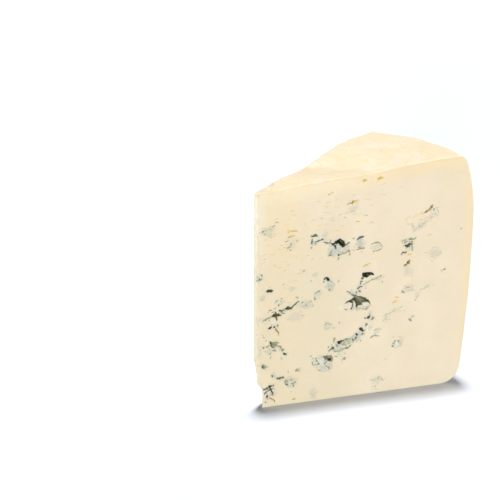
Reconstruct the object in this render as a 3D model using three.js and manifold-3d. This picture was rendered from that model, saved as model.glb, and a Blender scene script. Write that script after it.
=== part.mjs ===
// A wedge of rindless blue cheese, cut from a wheel and standing on the wheel's flat foot.
// Millimetres, +Z up. The first cut face looks towards -Y, with the tip of the wedge at -X and
// the wheel's rim at +X. The second cut face looks towards +Y. The origin is on the ground,
// under the middle of the wedge's box.
import * as THREE from 'three';
import { mergeVertices } from 'three/addons/utils/BufferGeometryUtils.js';
import Module from 'manifold-3d';

const wasm = await Module();
wasm.setup();

// ---- Driving dimensions -------------------------------------------------------------------

const WEDGE_ANGLE = THREE.MathUtils.degToRad(36.8);
const RIM_HEIGHT = 102;
const TIP_HEIGHT = 94.5;
const TOP_RAMP = 86; // the top climbs from the tip up to this radius, then runs level
const TOP_SAG = { radius: 54, spread: 9, depth: 1.2 };

const BELLY_RADIUS = 100; // the side of the wheel is fullest here
const BELLY_HEIGHT = 76;
const FOOT_RADIUS = 96.5;
const FOOT_CORNER = 9;
const SHOULDER_RADIUS = 95.3;

const TOP_EDGE = 2; // rounding of the top's edges
const FOOT_EDGE = 0.5; // rounding of the cut faces' bottom edges
const TIP_ROUND = 1; // rounding of the tip where it is sound
const TOE_ROUND = 2.9; // and at the ground, where it is worn back
const TOE_TOP = 30; // the wear starts here
const TOE_BOTTOM = 8;

const CELLS = { along: 20, around: 8, side: 14, corner: 4, edge: 3 };

// The openings that show in the first cut face. `along` runs from the wheel's centre towards
// the rim, `up` from the ground; the tilt is in degrees, rising towards the rim.
const FIRST_FACE_OPENINGS = [
  { along: 39.5, up: 69.0, length: 6.0, height: 4.2, tilt: -12, depth: 4.5 },
  { along: 29.5, up: 71.5, length: 5.0, height: 3.2, tilt: 15, depth: 2.0 },
  { along: 48.5, up: 68.6, length: 4.6, height: 4.6, tilt: 25, depth: 2.0 },
  { along: 70.3, up: 65.8, length: 3.8, height: 4.6, tilt: 10, depth: 3.0 },
  { along: 70.5, up: 57.2, length: 3.6, height: 1.6, tilt: 42, depth: 2.5 },
  { along: 79.4, up: 80.3, length: 4.2, height: 1.6, tilt: 42, depth: 2.5 },
  { along: 52.4, up: 54.2, length: 5.4, height: 3.0, tilt: -5, depth: 4.0 },
  { along: 34.1, up: 54.0, length: 3.2, height: 2.2, tilt: -15, depth: 2.5 },
  { along: 47.9, up: 42.7, length: 11.4, height: 4.8, tilt: -6, depth: 4.5 },
  { along: 53.6, up: 35.1, length: 3.0, height: 1.8, tilt: -10, depth: 2.5 },
  { along: 49.0, up: 29.1, length: 4.2, height: 2.6, tilt: 45, depth: 2.5 },
  { along: 43.2, up: 24.4, length: 8.4, height: 3.4, tilt: 20, depth: 3.5 },
  { along: 35.4, up: 18.3, length: 5.2, height: 4.6, tilt: 10, depth: 3.5 },
  { along: 66.4, up: 21.8, length: 3.6, height: 3.4, tilt: 20, depth: 1.8 },
  { along: 9.1, up: 52.0, length: 3.4, height: 1.7, tilt: 10, depth: 2.0 },
  { along: 11.8, up: 41.0, length: 4.8, height: 3.6, tilt: 15, depth: 2.2 },
  { along: 17.6, up: 43.6, length: 4.0, height: 1.8, tilt: 25, depth: 2.5 },
  { along: 11.0, up: 27.6, length: 4.4, height: 3.4, tilt: -20, depth: 2.2 },
  { along: 18.2, up: 10.4, length: 5.0, height: 3.4, tilt: -5, depth: 1.8 },
  { along: 9.3, up: 7.4, length: 3.8, height: 4.4, tilt: 30, depth: 2.2 },
];

// The second cut face has openings of the same kinds, strewn along slanting veins.
const SECOND_FACE_VEINS = { count: 4, openings: 5, slope: 0.9, length: 46, scatter: 5 };
const SECOND_FACE_REACH = { along: [20, 88], up: [10, 90] };
const OPENING_SIZE = { length: [3, 8.5], height: [0.42, 0.75], depth: [0.45, 0.7] };
const OPENING_DETAIL = { large: 2, small: 1, from: 4.5 }; // finer from this length up

const PASTE = new THREE.MeshStandardMaterial({ color: 0xf2e4cb, roughness: 0.55, metalness: 0 });

// ---- Helpers ------------------------------------------------------------------------------

// Seeded random numbers from 0 to 1, the same ones in every run.
function seededRandom(seed) {
  let state = seed;
  return () => {
    state = (state * 1664525 + 1013904223) % 4294967296;
    return state / 4294967296;
  };
}

const between = (random, [low, high]) => low + (high - low) * random();

// Only the positions are kept, so that vertices in the same place become one.
function closed(geometry) {
  geometry.deleteAttribute('normal');
  geometry.deleteAttribute('uv');
  return mergeVertices(geometry, 1e-4);
}

function toSolid(geometry) {
  return new wasm.Manifold(new wasm.Mesh({
    numProp: 3,
    vertProperties: new Float32Array(geometry.attributes.position.array),
    triVerts: new Uint32Array(geometry.index.array),
  }));
}

function toGeometry(solid) {
  const mesh = solid.getMesh();
  const geometry = new THREE.BufferGeometry();
  geometry.setAttribute('position', new THREE.BufferAttribute(mesh.vertProperties, 3));
  geometry.setIndex(new THREE.BufferAttribute(mesh.triVerts, 1));
  geometry.computeVertexNormals();
  return geometry;
}

// ---- The wheel's section ------------------------------------------------------------------

// How far an edge of the given rounding stands back, `reach` above or below its start.
const rounding = (radius, reach) => radius - Math.sqrt(Math.max(0, radius ** 2 - reach ** 2));

// The wheel's radius at a height: a rounded foot, a full belly and a shoulder that leans in.
function wheelRadius(height) {
  if (height < BELLY_HEIGHT) {
    const fall = (BELLY_HEIGHT - Math.max(height, FOOT_CORNER)) / (BELLY_HEIGHT - FOOT_CORNER);
    const side = BELLY_RADIUS - (BELLY_RADIUS - FOOT_RADIUS) * fall ** 2;
    return side - rounding(FOOT_CORNER, Math.max(0, FOOT_CORNER - height));
  }
  const rise = (height - BELLY_HEIGHT) / (RIM_HEIGHT - BELLY_HEIGHT);
  return BELLY_RADIUS - (BELLY_RADIUS - SHOULDER_RADIUS) * rise ** 2;
}

// How far the outline stands back at a height, for the rounded edges at the top and the foot.
function edgeInset(height) {
  const topReach = Math.max(0, height - (RIM_HEIGHT - TOP_EDGE));
  const footReach = Math.max(0, FOOT_EDGE - height);
  return rounding(TOP_EDGE, topReach) + rounding(FOOT_EDGE, footReach);
}

// The tip is a small round, which grows towards the ground where the toe is worn back.
function tipRound(height) {
  const wear = THREE.MathUtils.clamp((TOE_TOP - height) / (TOE_TOP - TOE_BOTTOM), 0, 1);
  return TIP_ROUND + (TOE_ROUND - TIP_ROUND) * wear ** 2;
}

// The heights of the rows of points, close together round the corners and the top edges.
function rowHeights() {
  const heights = [0, FOOT_EDGE];
  for (let i = 1; i <= CELLS.corner; i++) {
    const turn = (i / CELLS.corner) * (Math.PI / 2);
    heights.push(FOOT_EDGE + (FOOT_CORNER - FOOT_EDGE) * (1 - Math.cos(turn)));
  }
  const sideTop = RIM_HEIGHT - TOP_EDGE;
  for (let i = 1; i <= CELLS.side; i++) {
    heights.push(THREE.MathUtils.lerp(FOOT_CORNER, sideTop, i / CELLS.side));
  }
  for (let i = 1; i <= CELLS.edge; i++) {
    const turn = (i / CELLS.edge) * (Math.PI / 2);
    heights.push(sideTop + TOP_EDGE * Math.sin(turn));
  }
  return heights;
}

// ---- The wedge ----------------------------------------------------------------------------

// The height of the top over a point of the plan: it climbs from the tip, sags a little on the
// way, and rolls gently as a pressed surface does.
function topHeight(x, y) {
  const radius = Math.hypot(x, y);
  const climb = (RIM_HEIGHT - TIP_HEIGHT) * Math.min(1, radius / TOP_RAMP);
  const sag = TOP_SAG.depth * Math.exp(-(((radius - TOP_SAG.radius) / TOP_SAG.spread) ** 2));
  const roll = 0.25 * Math.sin(x / 9 + 1) * Math.cos(y / 11);
  return TIP_HEIGHT + climb - sag + roll;
}

// A point of the plan outline's inside. `along` goes from the tip's round (0) to the rim (1),
// `around` from the first cut face (0) to the second (1).
function planPoint(along, around, height) {
  const inset = edgeInset(height);
  const round = tipRound(height);
  const half = WEDGE_ANGLE / 2;
  const centre = (inset + round) / Math.sin(half);
  const turn = -Math.PI / 2 - around * (Math.PI - WEDGE_ANGLE);
  const tip = new THREE.Vector2(Math.cos(half), Math.sin(half)).multiplyScalar(centre);
  tip.x += round * Math.cos(turn);
  tip.y += round * Math.sin(turn);
  const radius = wheelRadius(height) - inset;
  const margin = Math.asin(inset / radius);
  const angle = THREE.MathUtils.lerp(margin, WEDGE_ANGLE - margin, around);
  const rim = new THREE.Vector2(Math.cos(angle), Math.sin(angle)).multiplyScalar(radius);
  return tip.lerp(rim, along);
}

// A box of cells whose points are moved onto the wedge, so it is closed from the start.
function wedgeGeometry() {
  const heights = rowHeights();
  const rows = heights.length - 1;
  const geometry = closed(new THREE.BoxGeometry(1, 1, 1, CELLS.along, CELLS.around, rows));
  const place = geometry.attributes.position;
  for (let i = 0; i < place.count; i++) {
    const height = heights[Math.round((place.getZ(i) + 0.5) * rows)];
    const plan = planPoint(place.getX(i) + 0.5, place.getY(i) + 0.5, height);
    const z = (height / RIM_HEIGHT) * topHeight(plan.x, plan.y);
    place.setXYZ(i, plan.x, plan.y, z);
  }
  return geometry;
}

// ---- The openings -------------------------------------------------------------------------

// An opening is the gap that was left between curds. Its walls bulge in where a curd stands
// and crease outwards between two curds: waves in three directions, folded upwards.
function openingGeometry({ length, height, tilt, depth }, random) {
  const detail = length < OPENING_DETAIL.from ? OPENING_DETAIL.small : OPENING_DETAIL.large;
  const geometry = closed(new THREE.IcosahedronGeometry(1, detail));
  const waves = [];
  for (let i = 0; i < 3; i++) {
    const axis = new THREE.Vector3(random() - 0.5, random() - 0.5, random() - 0.5).normalize();
    waves.push({ axis, shift: random() * Math.PI });
  }
  const place = geometry.attributes.position;
  const point = new THREE.Vector3();
  for (let i = 0; i < place.count; i++) {
    point.fromBufferAttribute(place, i);
    let crease = 0;
    for (const { axis, shift } of waves) {
      crease += 1 - Math.abs(Math.sin(2.2 * point.dot(axis) + shift));
    }
    point.multiplyScalar(0.75 + 0.45 * (crease / waves.length) ** 1.5);
    place.setXYZ(i, point.x, point.y, point.z);
  }
  geometry.scale(length / 2, depth, height / 2);
  geometry.rotateY(-THREE.MathUtils.degToRad(tilt));
  return geometry;
}

// An opening's middle lies just under the cut face, so that it is widest inside.
// The second face is the first one turned about the wheel's axis, seen from its other side.
function openingSolid(opening, secondFace, random) {
  const geometry = openingGeometry(opening, random);
  const inwards = 0.15 * opening.depth;
  if (secondFace) {
    geometry.translate(-opening.along, inwards, opening.up);
    geometry.rotateZ(WEDGE_ANGLE + Math.PI);
  } else {
    geometry.translate(opening.along, inwards, opening.up);
  }
  return toSolid(geometry);
}

// The second face's openings follow slanting veins, each with a few openings near its line.
function strewnOpenings(random) {
  const openings = [];
  const { count, slope, scatter } = SECOND_FACE_VEINS;
  for (let vein = 0; vein < count; vein++) {
    const startAlong = THREE.MathUtils.lerp(...SECOND_FACE_REACH.along, (vein + 0.1) / count);
    const startUp = between(random, [12, 42]);
    for (let i = 0; i < SECOND_FACE_VEINS.openings; i++) {
      const step = (SECOND_FACE_VEINS.length * i) / SECOND_FACE_VEINS.openings;
      const along = startAlong + 0.35 * step + scatter * (random() - 0.5);
      const up = startUp + slope * step + scatter * (random() - 0.5);
      const length = between(random, OPENING_SIZE.length);
      const opening = {
        along: THREE.MathUtils.clamp(along, ...SECOND_FACE_REACH.along),
        up: THREE.MathUtils.clamp(up, ...SECOND_FACE_REACH.up),
        length,
        height: length * between(random, OPENING_SIZE.height),
        tilt: between(random, [-20, 50]),
        depth: length * between(random, OPENING_SIZE.depth),
      };
      openings.push(opening);
    }
  }
  return openings;
}

// ---- The piece ----------------------------------------------------------------------------

function makeWedge() {
  const random = seededRandom(7);
  let solid = toSolid(wedgeGeometry());
  for (const opening of FIRST_FACE_OPENINGS) {
    solid = solid.subtract(openingSolid(opening, false, random));
  }
  for (const opening of strewnOpenings(random)) {
    solid = solid.subtract(openingSolid(opening, true, random));
  }
  const geometry = toGeometry(solid);
  geometry.computeBoundingBox();
  const centre = geometry.boundingBox.getCenter(new THREE.Vector3());
  geometry.translate(-centre.x, -centre.y, -geometry.boundingBox.min.z);
  const mesh = new THREE.Mesh(geometry, PASTE);
  mesh.name = 'cheese_wedge';
  return mesh;
}

const wedge = new THREE.Group();
wedge.add(makeWedge());

export default wedge;
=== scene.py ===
# %% [markdown]
# # A wedge of blue cheese
# The real thing is a slice of a small wheel of blue cheese, standing on the wheel's flat foot.
# Its cut faces are smooth ivory paste. Between the curds there were gaps, and blue mould grew
# in them, so the faces are broken by openings with pale lips and dark insides, by thin cracks,
# and by soft stains. We load the measured solid first, and dress it without changing its size.

# %% Load the frame
import math
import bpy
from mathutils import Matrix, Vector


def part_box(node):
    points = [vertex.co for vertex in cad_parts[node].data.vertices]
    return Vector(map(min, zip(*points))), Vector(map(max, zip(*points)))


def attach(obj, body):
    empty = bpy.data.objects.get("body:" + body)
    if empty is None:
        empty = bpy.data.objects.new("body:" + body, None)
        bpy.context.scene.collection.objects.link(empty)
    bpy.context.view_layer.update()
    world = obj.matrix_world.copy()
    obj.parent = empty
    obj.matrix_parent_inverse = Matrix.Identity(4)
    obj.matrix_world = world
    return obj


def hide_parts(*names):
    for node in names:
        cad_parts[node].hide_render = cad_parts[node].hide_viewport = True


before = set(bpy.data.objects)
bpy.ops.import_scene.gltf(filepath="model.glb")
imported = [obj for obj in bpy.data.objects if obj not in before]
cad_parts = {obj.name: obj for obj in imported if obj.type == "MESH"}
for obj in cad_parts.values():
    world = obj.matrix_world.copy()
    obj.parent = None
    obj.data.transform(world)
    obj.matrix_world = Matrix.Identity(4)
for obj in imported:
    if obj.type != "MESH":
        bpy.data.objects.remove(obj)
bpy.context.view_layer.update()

from types import SimpleNamespace
from typing import NamedTuple

import bmesh
import bpy
import numpy as np
from mathutils import Vector, noise

MM = 0.001
NODE = "cheese_wedge"
low, high = (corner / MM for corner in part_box(NODE))
print(f"solid: {high.x - low.x:.1f} x {high.y - low.y:.1f} x {high.z - low.z:.1f} mm")

# %% [markdown]
# ## The wheel that the wedge was cut from
# Everything is measured from the wheel's axis, because both cut faces pass through it. The
# angle of the slice and the small round at its tip say how far that axis lies in front of the
# tip. The other sizes follow from the solid's box.

# %% The wheel's sizes, in millimetres
WEDGE_ANGLE = math.radians(36.8)
HALF_ANGLE = WEDGE_ANGLE / 2
TIP_ROUND = 1.0
AXIS_X = low.x - TIP_ROUND * (1 / math.tan(HALF_ANGLE) - 1)
AXIS_Y = low.y
BELLY_RADIUS = high.x - AXIS_X
FOOT_RADIUS = BELLY_RADIUS - 3.5
SHOULDER_RADIUS = BELLY_RADIUS - 4.7
RIM_HEIGHT = high.z - 0.2
TIP_HEIGHT = RIM_HEIGHT - 8.3
BELLY_HEIGHT = 0.745 * RIM_HEIGHT
FOOT_CORNER = 9.0
print(f"wheel: axis at x {AXIS_X:.1f}, y {AXIS_Y:.1f}, radius {BELLY_RADIUS:.1f} mm")


def on_face(face, along, up, inward):
    """A point of a cut face in the frame's millimetres: face 0 looks to -Y, face 1 is behind.
    `along` runs from the wheel's axis to the rim, and `inward` from the face into the paste."""
    turn = WEDGE_ANGLE * face
    side = 1 - 2 * face
    x = along * math.cos(turn) - side * inward * math.sin(turn)
    y = along * math.sin(turn) + side * inward * math.cos(turn)
    return Vector((AXIS_X + x, AXIS_Y + y, up))


# %% [markdown]
# ## The camera
# The wedge is seen from a little above and from a little to the tip's side of its first cut
# face, through a long lens, so its upright edges stay nearly upright. The look-at point is on
# the tip, which leaves the wedge in the right half of the picture.

# %% Camera
CAMERA_YAW = math.radians(-18.3)
CAMERA_LIFT = math.radians(18.7)
CAMERA_DISTANCE = 679.0
LENS = 120.45
look_at = Vector((low.x - 1.5, low.y, 70.7))
back = Vector((
    math.sin(CAMERA_YAW) * math.cos(CAMERA_LIFT),
    -math.cos(CAMERA_YAW) * math.cos(CAMERA_LIFT),
    math.sin(CAMERA_LIFT),
))
camera_data = bpy.data.cameras.new("camera")
camera_data.lens = LENS
camera_data.sensor_width = 36.0
camera = bpy.data.objects.new("camera", camera_data)
bpy.context.scene.collection.objects.link(camera)
camera.location = (look_at + CAMERA_DISTANCE * back) * MM
camera.rotation_euler = back.to_track_quat("Z", "Y").to_euler()
bpy.context.scene.camera = camera
print(f"camera at {tuple(round(c, 3) for c in camera.location)} m")

# %% [markdown]
# ## Node trees written as Python
# Geometry Nodes and shader nodes do the same arithmetic. Wiring Math nodes by hand hides the
# formula, so one small class wraps an output socket, and Python's operators on it add the
# nodes. Any other node comes from one method, `add`.


# %% Sockets that take part in expressions
def find_socket(sockets, key):
    """A socket by its place in the list, its identifier or its name."""
    if isinstance(key, int):
        return sockets[key]
    for socket in sockets:
        if socket.identifier == key:
            return socket
    return sockets[key]


class Wire:
    """An output socket of a tree. Arithmetic on it adds Math nodes."""

    def __init__(self, tree, socket):
        self.tree = tree
        self.socket = socket


def operator(operation, reflected):
    def method(self, other):
        pair = (other, self) if reflected else (self, other)
        return self.tree.math(operation, *pair)
    return method


OPERATORS = {"add": "ADD", "sub": "SUBTRACT", "mul": "MULTIPLY", "truediv": "DIVIDE",
             "pow": "POWER"}
for word, operation in OPERATORS.items():
    setattr(Wire, f"__{word}__", operator(operation, reflected=False))
    setattr(Wire, f"__r{word}__", operator(operation, reflected=True))


class Tree:
    """A node tree whose nodes are added by expressions."""

    def __init__(self, node_tree):
        self.node_tree = node_tree

    def add(self, kind, settings=None, sockets=None):
        """A node of that type: its settings are set first, then its sockets are fed."""
        made = self.node_tree.nodes.new(kind)
        for name, value in (settings or {}).items():
            if name == "stops":
                set_stops(made.color_ramp, value)
            else:
                setattr(made, name, value)
        for key, value in (sockets or {}).items():
            self.feed(find_socket(made.inputs, key), value)
        return made

    def feed(self, socket, value):
        if isinstance(value, list):
            for each in value:
                self.feed(socket, each)
        elif isinstance(value, Wire):
            self.node_tree.links.new(value.socket, socket)
        elif value is not None:
            socket.default_value = value

    def wire(self, kind, settings=None, sockets=None, out=0):
        made = self.add(kind, settings, sockets)
        return Wire(self, find_socket(made.outputs, out))

    def math(self, operation, *values):
        return self.wire("ShaderNodeMath", {"operation": operation}, dict(enumerate(values)))

    def clamp(self, value, least=0.0, most=1.0):
        return self.math("MINIMUM", self.math("MAXIMUM", value, least), most)

    def part(self, value, start, end):
        """How far a value has come from `start` to `end`, from 0 to 1."""
        return self.clamp((value - start) / (end - start))

    def ease(self, value, start, end):
        """A soft step from 0 at `start` to 1 at `end`."""
        t = self.part(value, start, end)
        return t * t * (3.0 - 2.0 * t)

    def fade(self, value, start, end):
        """A soft step from 1 at `start` to 0 at `end`."""
        return 1.0 - self.ease(value, start, end)

    def past(self, value, start):
        """How far a value is past `start`, and 0 before it."""
        return self.math("MAXIMUM", value - start, 0.0)

    def noise(self, vector, scale, detail=2.0, roughness=0.5):
        """Noise from 0 to 1, with `scale` grains in a unit of the vector."""
        sockets = {"Vector": vector, "Scale": scale, "Detail": detail, "Roughness": roughness}
        return self.wire("ShaderNodeTexNoise", None, sockets)

    def waves(self, vector, *parts):
        """A sum of noises, each given as (height, scale, detail, the value that counts as 0)."""
        total = 0.0
        for height, scale, detail, middle in parts:
            total = total + height * (self.noise(vector, scale, detail) - middle)
        return total

    def split(self, vector):
        made = self.add("ShaderNodeSeparateXYZ", None, {0: vector})
        return [Wire(self, made.outputs[i]) for i in range(3)]

    def join(self, x, y, z):
        return self.wire("ShaderNodeCombineXYZ", None, {0: x, 1: y, 2: z})

    def mix(self, factor, first, second):
        """A colour between two others."""
        settings = {"data_type": "RGBA", "clamp_factor": True}
        sockets = {"Factor_Float": factor, "A_Color": first, "B_Color": second}
        return self.wire("ShaderNodeMix", settings, sockets, "Result_Color")


def set_stops(ramp, stops):
    """Gives a colour ramp its stops: (place, colour) pairs in order."""
    while len(ramp.elements) < len(stops):
        ramp.elements.new(1.0)
    for element, (place, colour) in zip(ramp.elements, stops):
        element.position = place
        element.color = colour


# %% [markdown]
# ## Finishes by name
# A tree of Geometry Nodes ends by giving its mesh a material. So both finishes get their names
# here, empty, and their own nodes come later, once the shapes that they dress are there.

# %% Finishes
paste = bpy.data.materials.new("blue_cheese_paste")
mould = bpy.data.materials.new("blue_mould")

# %% [markdown]
# ## The wedge by a rule
# The slice is a block of cells whose points are moved by a formula: across the block from the
# tip to the rim, round from the first cut face to the second, and up. That keeps it closed and
# lets every edge be rounded by a term of the formula. Geometry Nodes suit this, because the
# whole rule stays in one tree with named sizes. Modelling it by hand and bevelling it would
# lose the wheel's own section: a rounded foot, a full belly and a shoulder that leans in.


# %% A geometry tree with named inputs
class GeometryTree(Tree):
    """A Geometry Nodes tree with named inputs, and the modifier that runs it."""

    KINDS = {int: "NodeSocketInt", float: "NodeSocketFloat"}

    def __init__(self, name):
        super().__init__(bpy.data.node_groups.new(name, "GeometryNodeTree"))
        interface = self.node_tree.interface
        interface.new_socket("Geometry", in_out="INPUT", socket_type="NodeSocketGeometry")
        interface.new_socket("Geometry", in_out="OUTPUT", socket_type="NodeSocketGeometry")
        self.source = self.node_tree.nodes.new("NodeGroupInput")
        self.values = {}

    def input(self, name, value, kind=None):
        """A named input of the tree with the value that the modifier gives it."""
        kind = kind or self.KINDS[type(value)]
        item = self.node_tree.interface.new_socket(name, in_out="INPUT", socket_type=kind)
        self.values[item.identifier] = value
        return Wire(self, find_socket(self.source.outputs, item.identifier))

    def geometry(self):
        return Wire(self, self.source.outputs[0])

    def named(self, attribute_name):
        """A number that the mesh carries under that name."""
        return self.wire("GeometryNodeInputNamedAttribute", {"data_type": "FLOAT"},
                         {"Name": attribute_name})

    def random(self, least, most, seed):
        return self.wire("FunctionNodeRandomValue", {"data_type": "FLOAT"},
                         {"Min_001": least, "Max_001": most, "Seed": seed}, "Value_001")

    def run(self, name, result, material, mesh=None):
        """Runs the tree on a mesh and returns what it makes as a plain object."""
        whole = self.wire("GeometryNodeRealizeInstances", None, {0: result})
        finish = self.input("Finish", material, "NodeSocketMaterial")
        dressed = self.wire("GeometryNodeSetMaterial", None,
                            {"Geometry": whole, "Material": finish})
        sink = self.node_tree.nodes.new("NodeGroupOutput")
        self.feed(sink.inputs[0], dressed)
        host = bpy.data.objects.new(name, mesh or bpy.data.meshes.new(name))
        bpy.context.scene.collection.objects.link(host)
        modifier = host.modifiers.new(name, "NODES")
        modifier.node_group = self.node_tree
        for identifier, value in self.values.items():
            modifier[identifier] = value
        host.update_tag()
        graph = bpy.context.evaluated_depsgraph_get()
        made = bpy.data.meshes.new_from_object(host.evaluated_get(graph))
        host.modifiers.remove(modifier)
        host.data = made
        made.name = name
        return host


# %% The top's rule
TOP_SIZES = {
    "Rim height": RIM_HEIGHT, "Tip height": TIP_HEIGHT, "Ramp": 86.0, "Angle": WEDGE_ANGLE,
    "Sag": 0.7, "Sag radius": 54.0, "Sag spread": 9.0,
    "Rear sag": 0.9, "Rear sag shift": 14.0, "Rear sag spread": 5.0,
}
# (height, scale, detail, the value that counts as 0)
TOP_ROLLS = ((1.3, 0.055, 2.0, 0.5), (0.5, 0.22, 3.0, 0.5))


def top_height(tree, x, y, size):
    """How high the top stands at a place off the axis: it climbs from the tip, sags on the way,
    most at the rear, and rolls as a pressed surface does. The sizes are numbers or wires."""
    run = tree.math("SQRT", x * x + y * y)
    around = tree.math("ARCTAN2", y, x) / size["Angle"]
    off_sag = run - (size["Sag radius"] - size["Rear sag shift"] * around)
    off_sag = off_sag / (size["Sag spread"] + size["Rear sag spread"] * around)
    sag = size["Sag"] + size["Rear sag"] * around
    sag = sag * tree.math("EXPONENT", 0.0 - off_sag * off_sag)
    climb = (size["Rim height"] - size["Tip height"]) * tree.clamp(run / size["Ramp"])
    rolls = tree.waves(tree.join(x, y, 0.0), *TOP_ROLLS)
    return size["Tip height"] + climb - sag + rolls


# %% The section's rule
SECTION_SIZES = {
    "Belly radius": BELLY_RADIUS, "Belly height": BELLY_HEIGHT, "Foot radius": FOOT_RADIUS,
    "Foot corner": FOOT_CORNER, "Shoulder radius": SHOULDER_RADIUS, "Top edge": 0.3,
    "Foot edge": 0.2, "Rim edge": 2.0, "Corner rows": 0.10, "Side rows": 0.98,
}
QUARTER = math.pi / 2


def rounding(tree, radius, reach):
    """How far a round edge of that radius has drawn back, at a reach along it."""
    return radius - tree.math("SQRT", tree.past(radius * radius, reach * reach))


def row_height(tree, rise, size):
    """The height of a row of points: the rows lie close together at the two edges."""
    corner = tree.part(rise, 0.0, size["Corner rows"])
    side = tree.part(rise, size["Corner rows"], size["Side rows"])
    edge = tree.part(rise, size["Side rows"], 1.0)
    side_height = size["Rim height"] - size["Top edge"] - size["Foot corner"]
    height = size["Foot corner"] * (1.0 - tree.math("COSINE", corner * QUARTER))
    height = height + side_height * side
    return height + size["Top edge"] * tree.math("SINE", edge * QUARTER)


def wheel_radius(tree, height, size):
    """The wheel's section: a round foot, a full belly and a shoulder that leans in."""
    fall = tree.part(height, size["Belly height"], size["Foot corner"])
    lean = tree.part(height, size["Belly height"], size["Rim height"])
    radius = size["Belly radius"] - (size["Belly radius"] - size["Foot radius"]) * fall * fall
    radius = radius - (size["Belly radius"] - size["Shoulder radius"]) * lean * lean
    foot_reach = tree.past(size["Foot corner"], height)
    rim_reach = tree.past(height, size["Rim height"] - size["Rim edge"])
    radius = radius - rounding(tree, size["Foot corner"], foot_reach)
    return radius - rounding(tree, size["Rim edge"], rim_reach)


# %% The rule of the worn edges
WEAR_SIZES = {
    "Crumbling depth": 3.5, "Crumbling in front": 0.25, "More at the rear": 0.75,
    "Ripple": 0.1, "Broken corner": 4.0, "Broken depth": 9.0,
    "Tip round": TIP_ROUND + 0.3, "Toe round": 2.5, "Toe top": 24.0, "Toe bottom": 8.0,
    "Chip top": 10.6, "Chip bottom": 7.4, "Chip front": 5.9, "Chip rear": 10.2,
}
# (height, scale, detail, the value that counts as 0)
TIP_WAVES = ((0.7, 0.16, 4.0, 0.4), (0.5, 0.45, 3.0, 0.5))
RIM_DIMPLES = (0.6, 0.09, 2.0, 0.6)
DIMPLES_UP = (2.0, 14.0)
CRUMB_NOISE, CRUMB_LEVELS = (0.28, 4.0), (0.48, 0.72)
RIPPLE_SCALE = 0.06
BROKEN_ALONG, BROKEN_AROUND = (0.72, 1.0), (0.5, 1.0)


def edge_inset(tree, along, around, height, spot, size):
    """How far a cut face draws back at its edges. Its top edge crumbles, most at the rear,
    and the top's rear corner at the rim is broken off."""
    top_reach = tree.past(height, size["Rim height"] - size["Top edge"])
    foot_reach = tree.past(size["Foot edge"], height)
    inset = rounding(tree, size["Top edge"], top_reach)
    inset = inset + rounding(tree, size["Foot edge"], foot_reach)
    crumble = tree.ease(tree.noise(spot, *CRUMB_NOISE), *CRUMB_LEVELS)
    near_top = tree.ease(height, size["Rim height"] - size["Crumbling depth"], size["Rim height"])
    how_much = size["Crumbling in front"] + size["More at the rear"] * around
    inset = inset + how_much * crumble * near_top
    inset = inset + size["Ripple"] * tree.noise(spot, RIPPLE_SCALE)
    broken = tree.ease(along, *BROKEN_ALONG) * tree.ease(around, *BROKEN_AROUND)
    depth = tree.ease(height, size["Rim height"] - size["Broken depth"], size["Rim height"])
    return inset + size["Broken corner"] * (broken * depth)


def tip_place(tree, around, height, inset, spot, size):
    """Where a row starts: on the tip's round, which grows towards the worn toe. A chip is
    missing from the toe, and its flat runs straight back from the first cut face."""
    ragged = tree.waves(spot, *TIP_WAVES)
    wear = tree.part(height, size["Toe top"], size["Toe bottom"])
    tip_round = size["Tip round"] + (size["Toe round"] - size["Tip round"]) * wear + ragged
    half = size["Angle"] * 0.5
    centre = (inset + tip_round) / tree.math("SINE", half)
    turn = -QUARTER - around * (math.pi - size["Angle"])
    x = centre * tree.math("COSINE", half) + tip_round * tree.math("COSINE", turn)
    y = centre * tree.math("SINE", half) + tip_round * tree.math("SINE", turn)
    chipped = tree.ease(height, size["Chip top"], size["Chip bottom"])
    rear_x = size["Chip rear"] * tree.math("COSINE", size["Angle"])
    rear_y = size["Chip rear"] * tree.math("SINE", size["Angle"]) - inset
    chip_x = size["Chip front"] + ragged + (rear_x - size["Chip front"]) * around
    chip_y = inset + (rear_y - inset) * around
    return x + (chip_x - x) * chipped, y + (chip_y - y) * chipped


# %% The whole rule
# Noise on the block needs places in millimetres, or nearly so.
ALONG_MM = 100.0
AROUND_MM = 60.0


def wedge_place(tree):
    """The place of a block's point on the wedge, in millimetres, as three wires. In the plan,
    a row is a straight line from the tip's round to the rim."""
    sizes = TOP_SIZES | SECTION_SIZES | WEAR_SIZES
    size = {name: tree.input(name, float(value)) for name, value in sizes.items()}
    block = tree.split(tree.wire("GeometryNodeInputPosition"))
    along, around, rise = (axis + 0.5 for axis in block)
    height = row_height(tree, rise, size)
    spot = tree.join(along * ALONG_MM, around * AROUND_MM, height)
    inset = edge_inset(tree, along, around, height, spot, size)
    tip_x, tip_y = tip_place(tree, around, height, inset, spot, size)
    dimple = tree.waves(spot, RIM_DIMPLES) * tree.ease(height, *DIMPLES_UP)
    reach = wheel_radius(tree, height, size) - inset - dimple
    margin = tree.math("ARCSINE", inset / reach)
    angle = margin + (size["Angle"] - 2.0 * margin) * around
    x = tip_x + (reach * tree.math("COSINE", angle) - tip_x) * along
    y = tip_y + (reach * tree.math("SINE", angle) - tip_y) * along
    z = height / size["Rim height"] * top_height(tree, x, y, size)
    return x, y, z


CELLS = (98, 26, 100)


def make_bare_wedge():
    tree = GeometryTree("wedge_by_rule")
    counts = [tree.input(f"Points {axis}", cells + 1) for axis, cells in zip("XYZ", CELLS)]
    block = tree.wire("GeometryNodeMeshCube", None, {
        "Size": (1.0, 1.0, 1.0),
        "Vertices X": counts[0], "Vertices Y": counts[1], "Vertices Z": counts[2],
    })
    x, y, z = wedge_place(tree)
    place = tree.join((x + AXIS_X) * MM, (y + AXIS_Y) * MM, z * MM)
    moved = tree.wire("GeometryNodeSetPosition", None, {"Geometry": block, "Position": place})
    return tree.run("bare_wedge", moved, paste)


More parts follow.
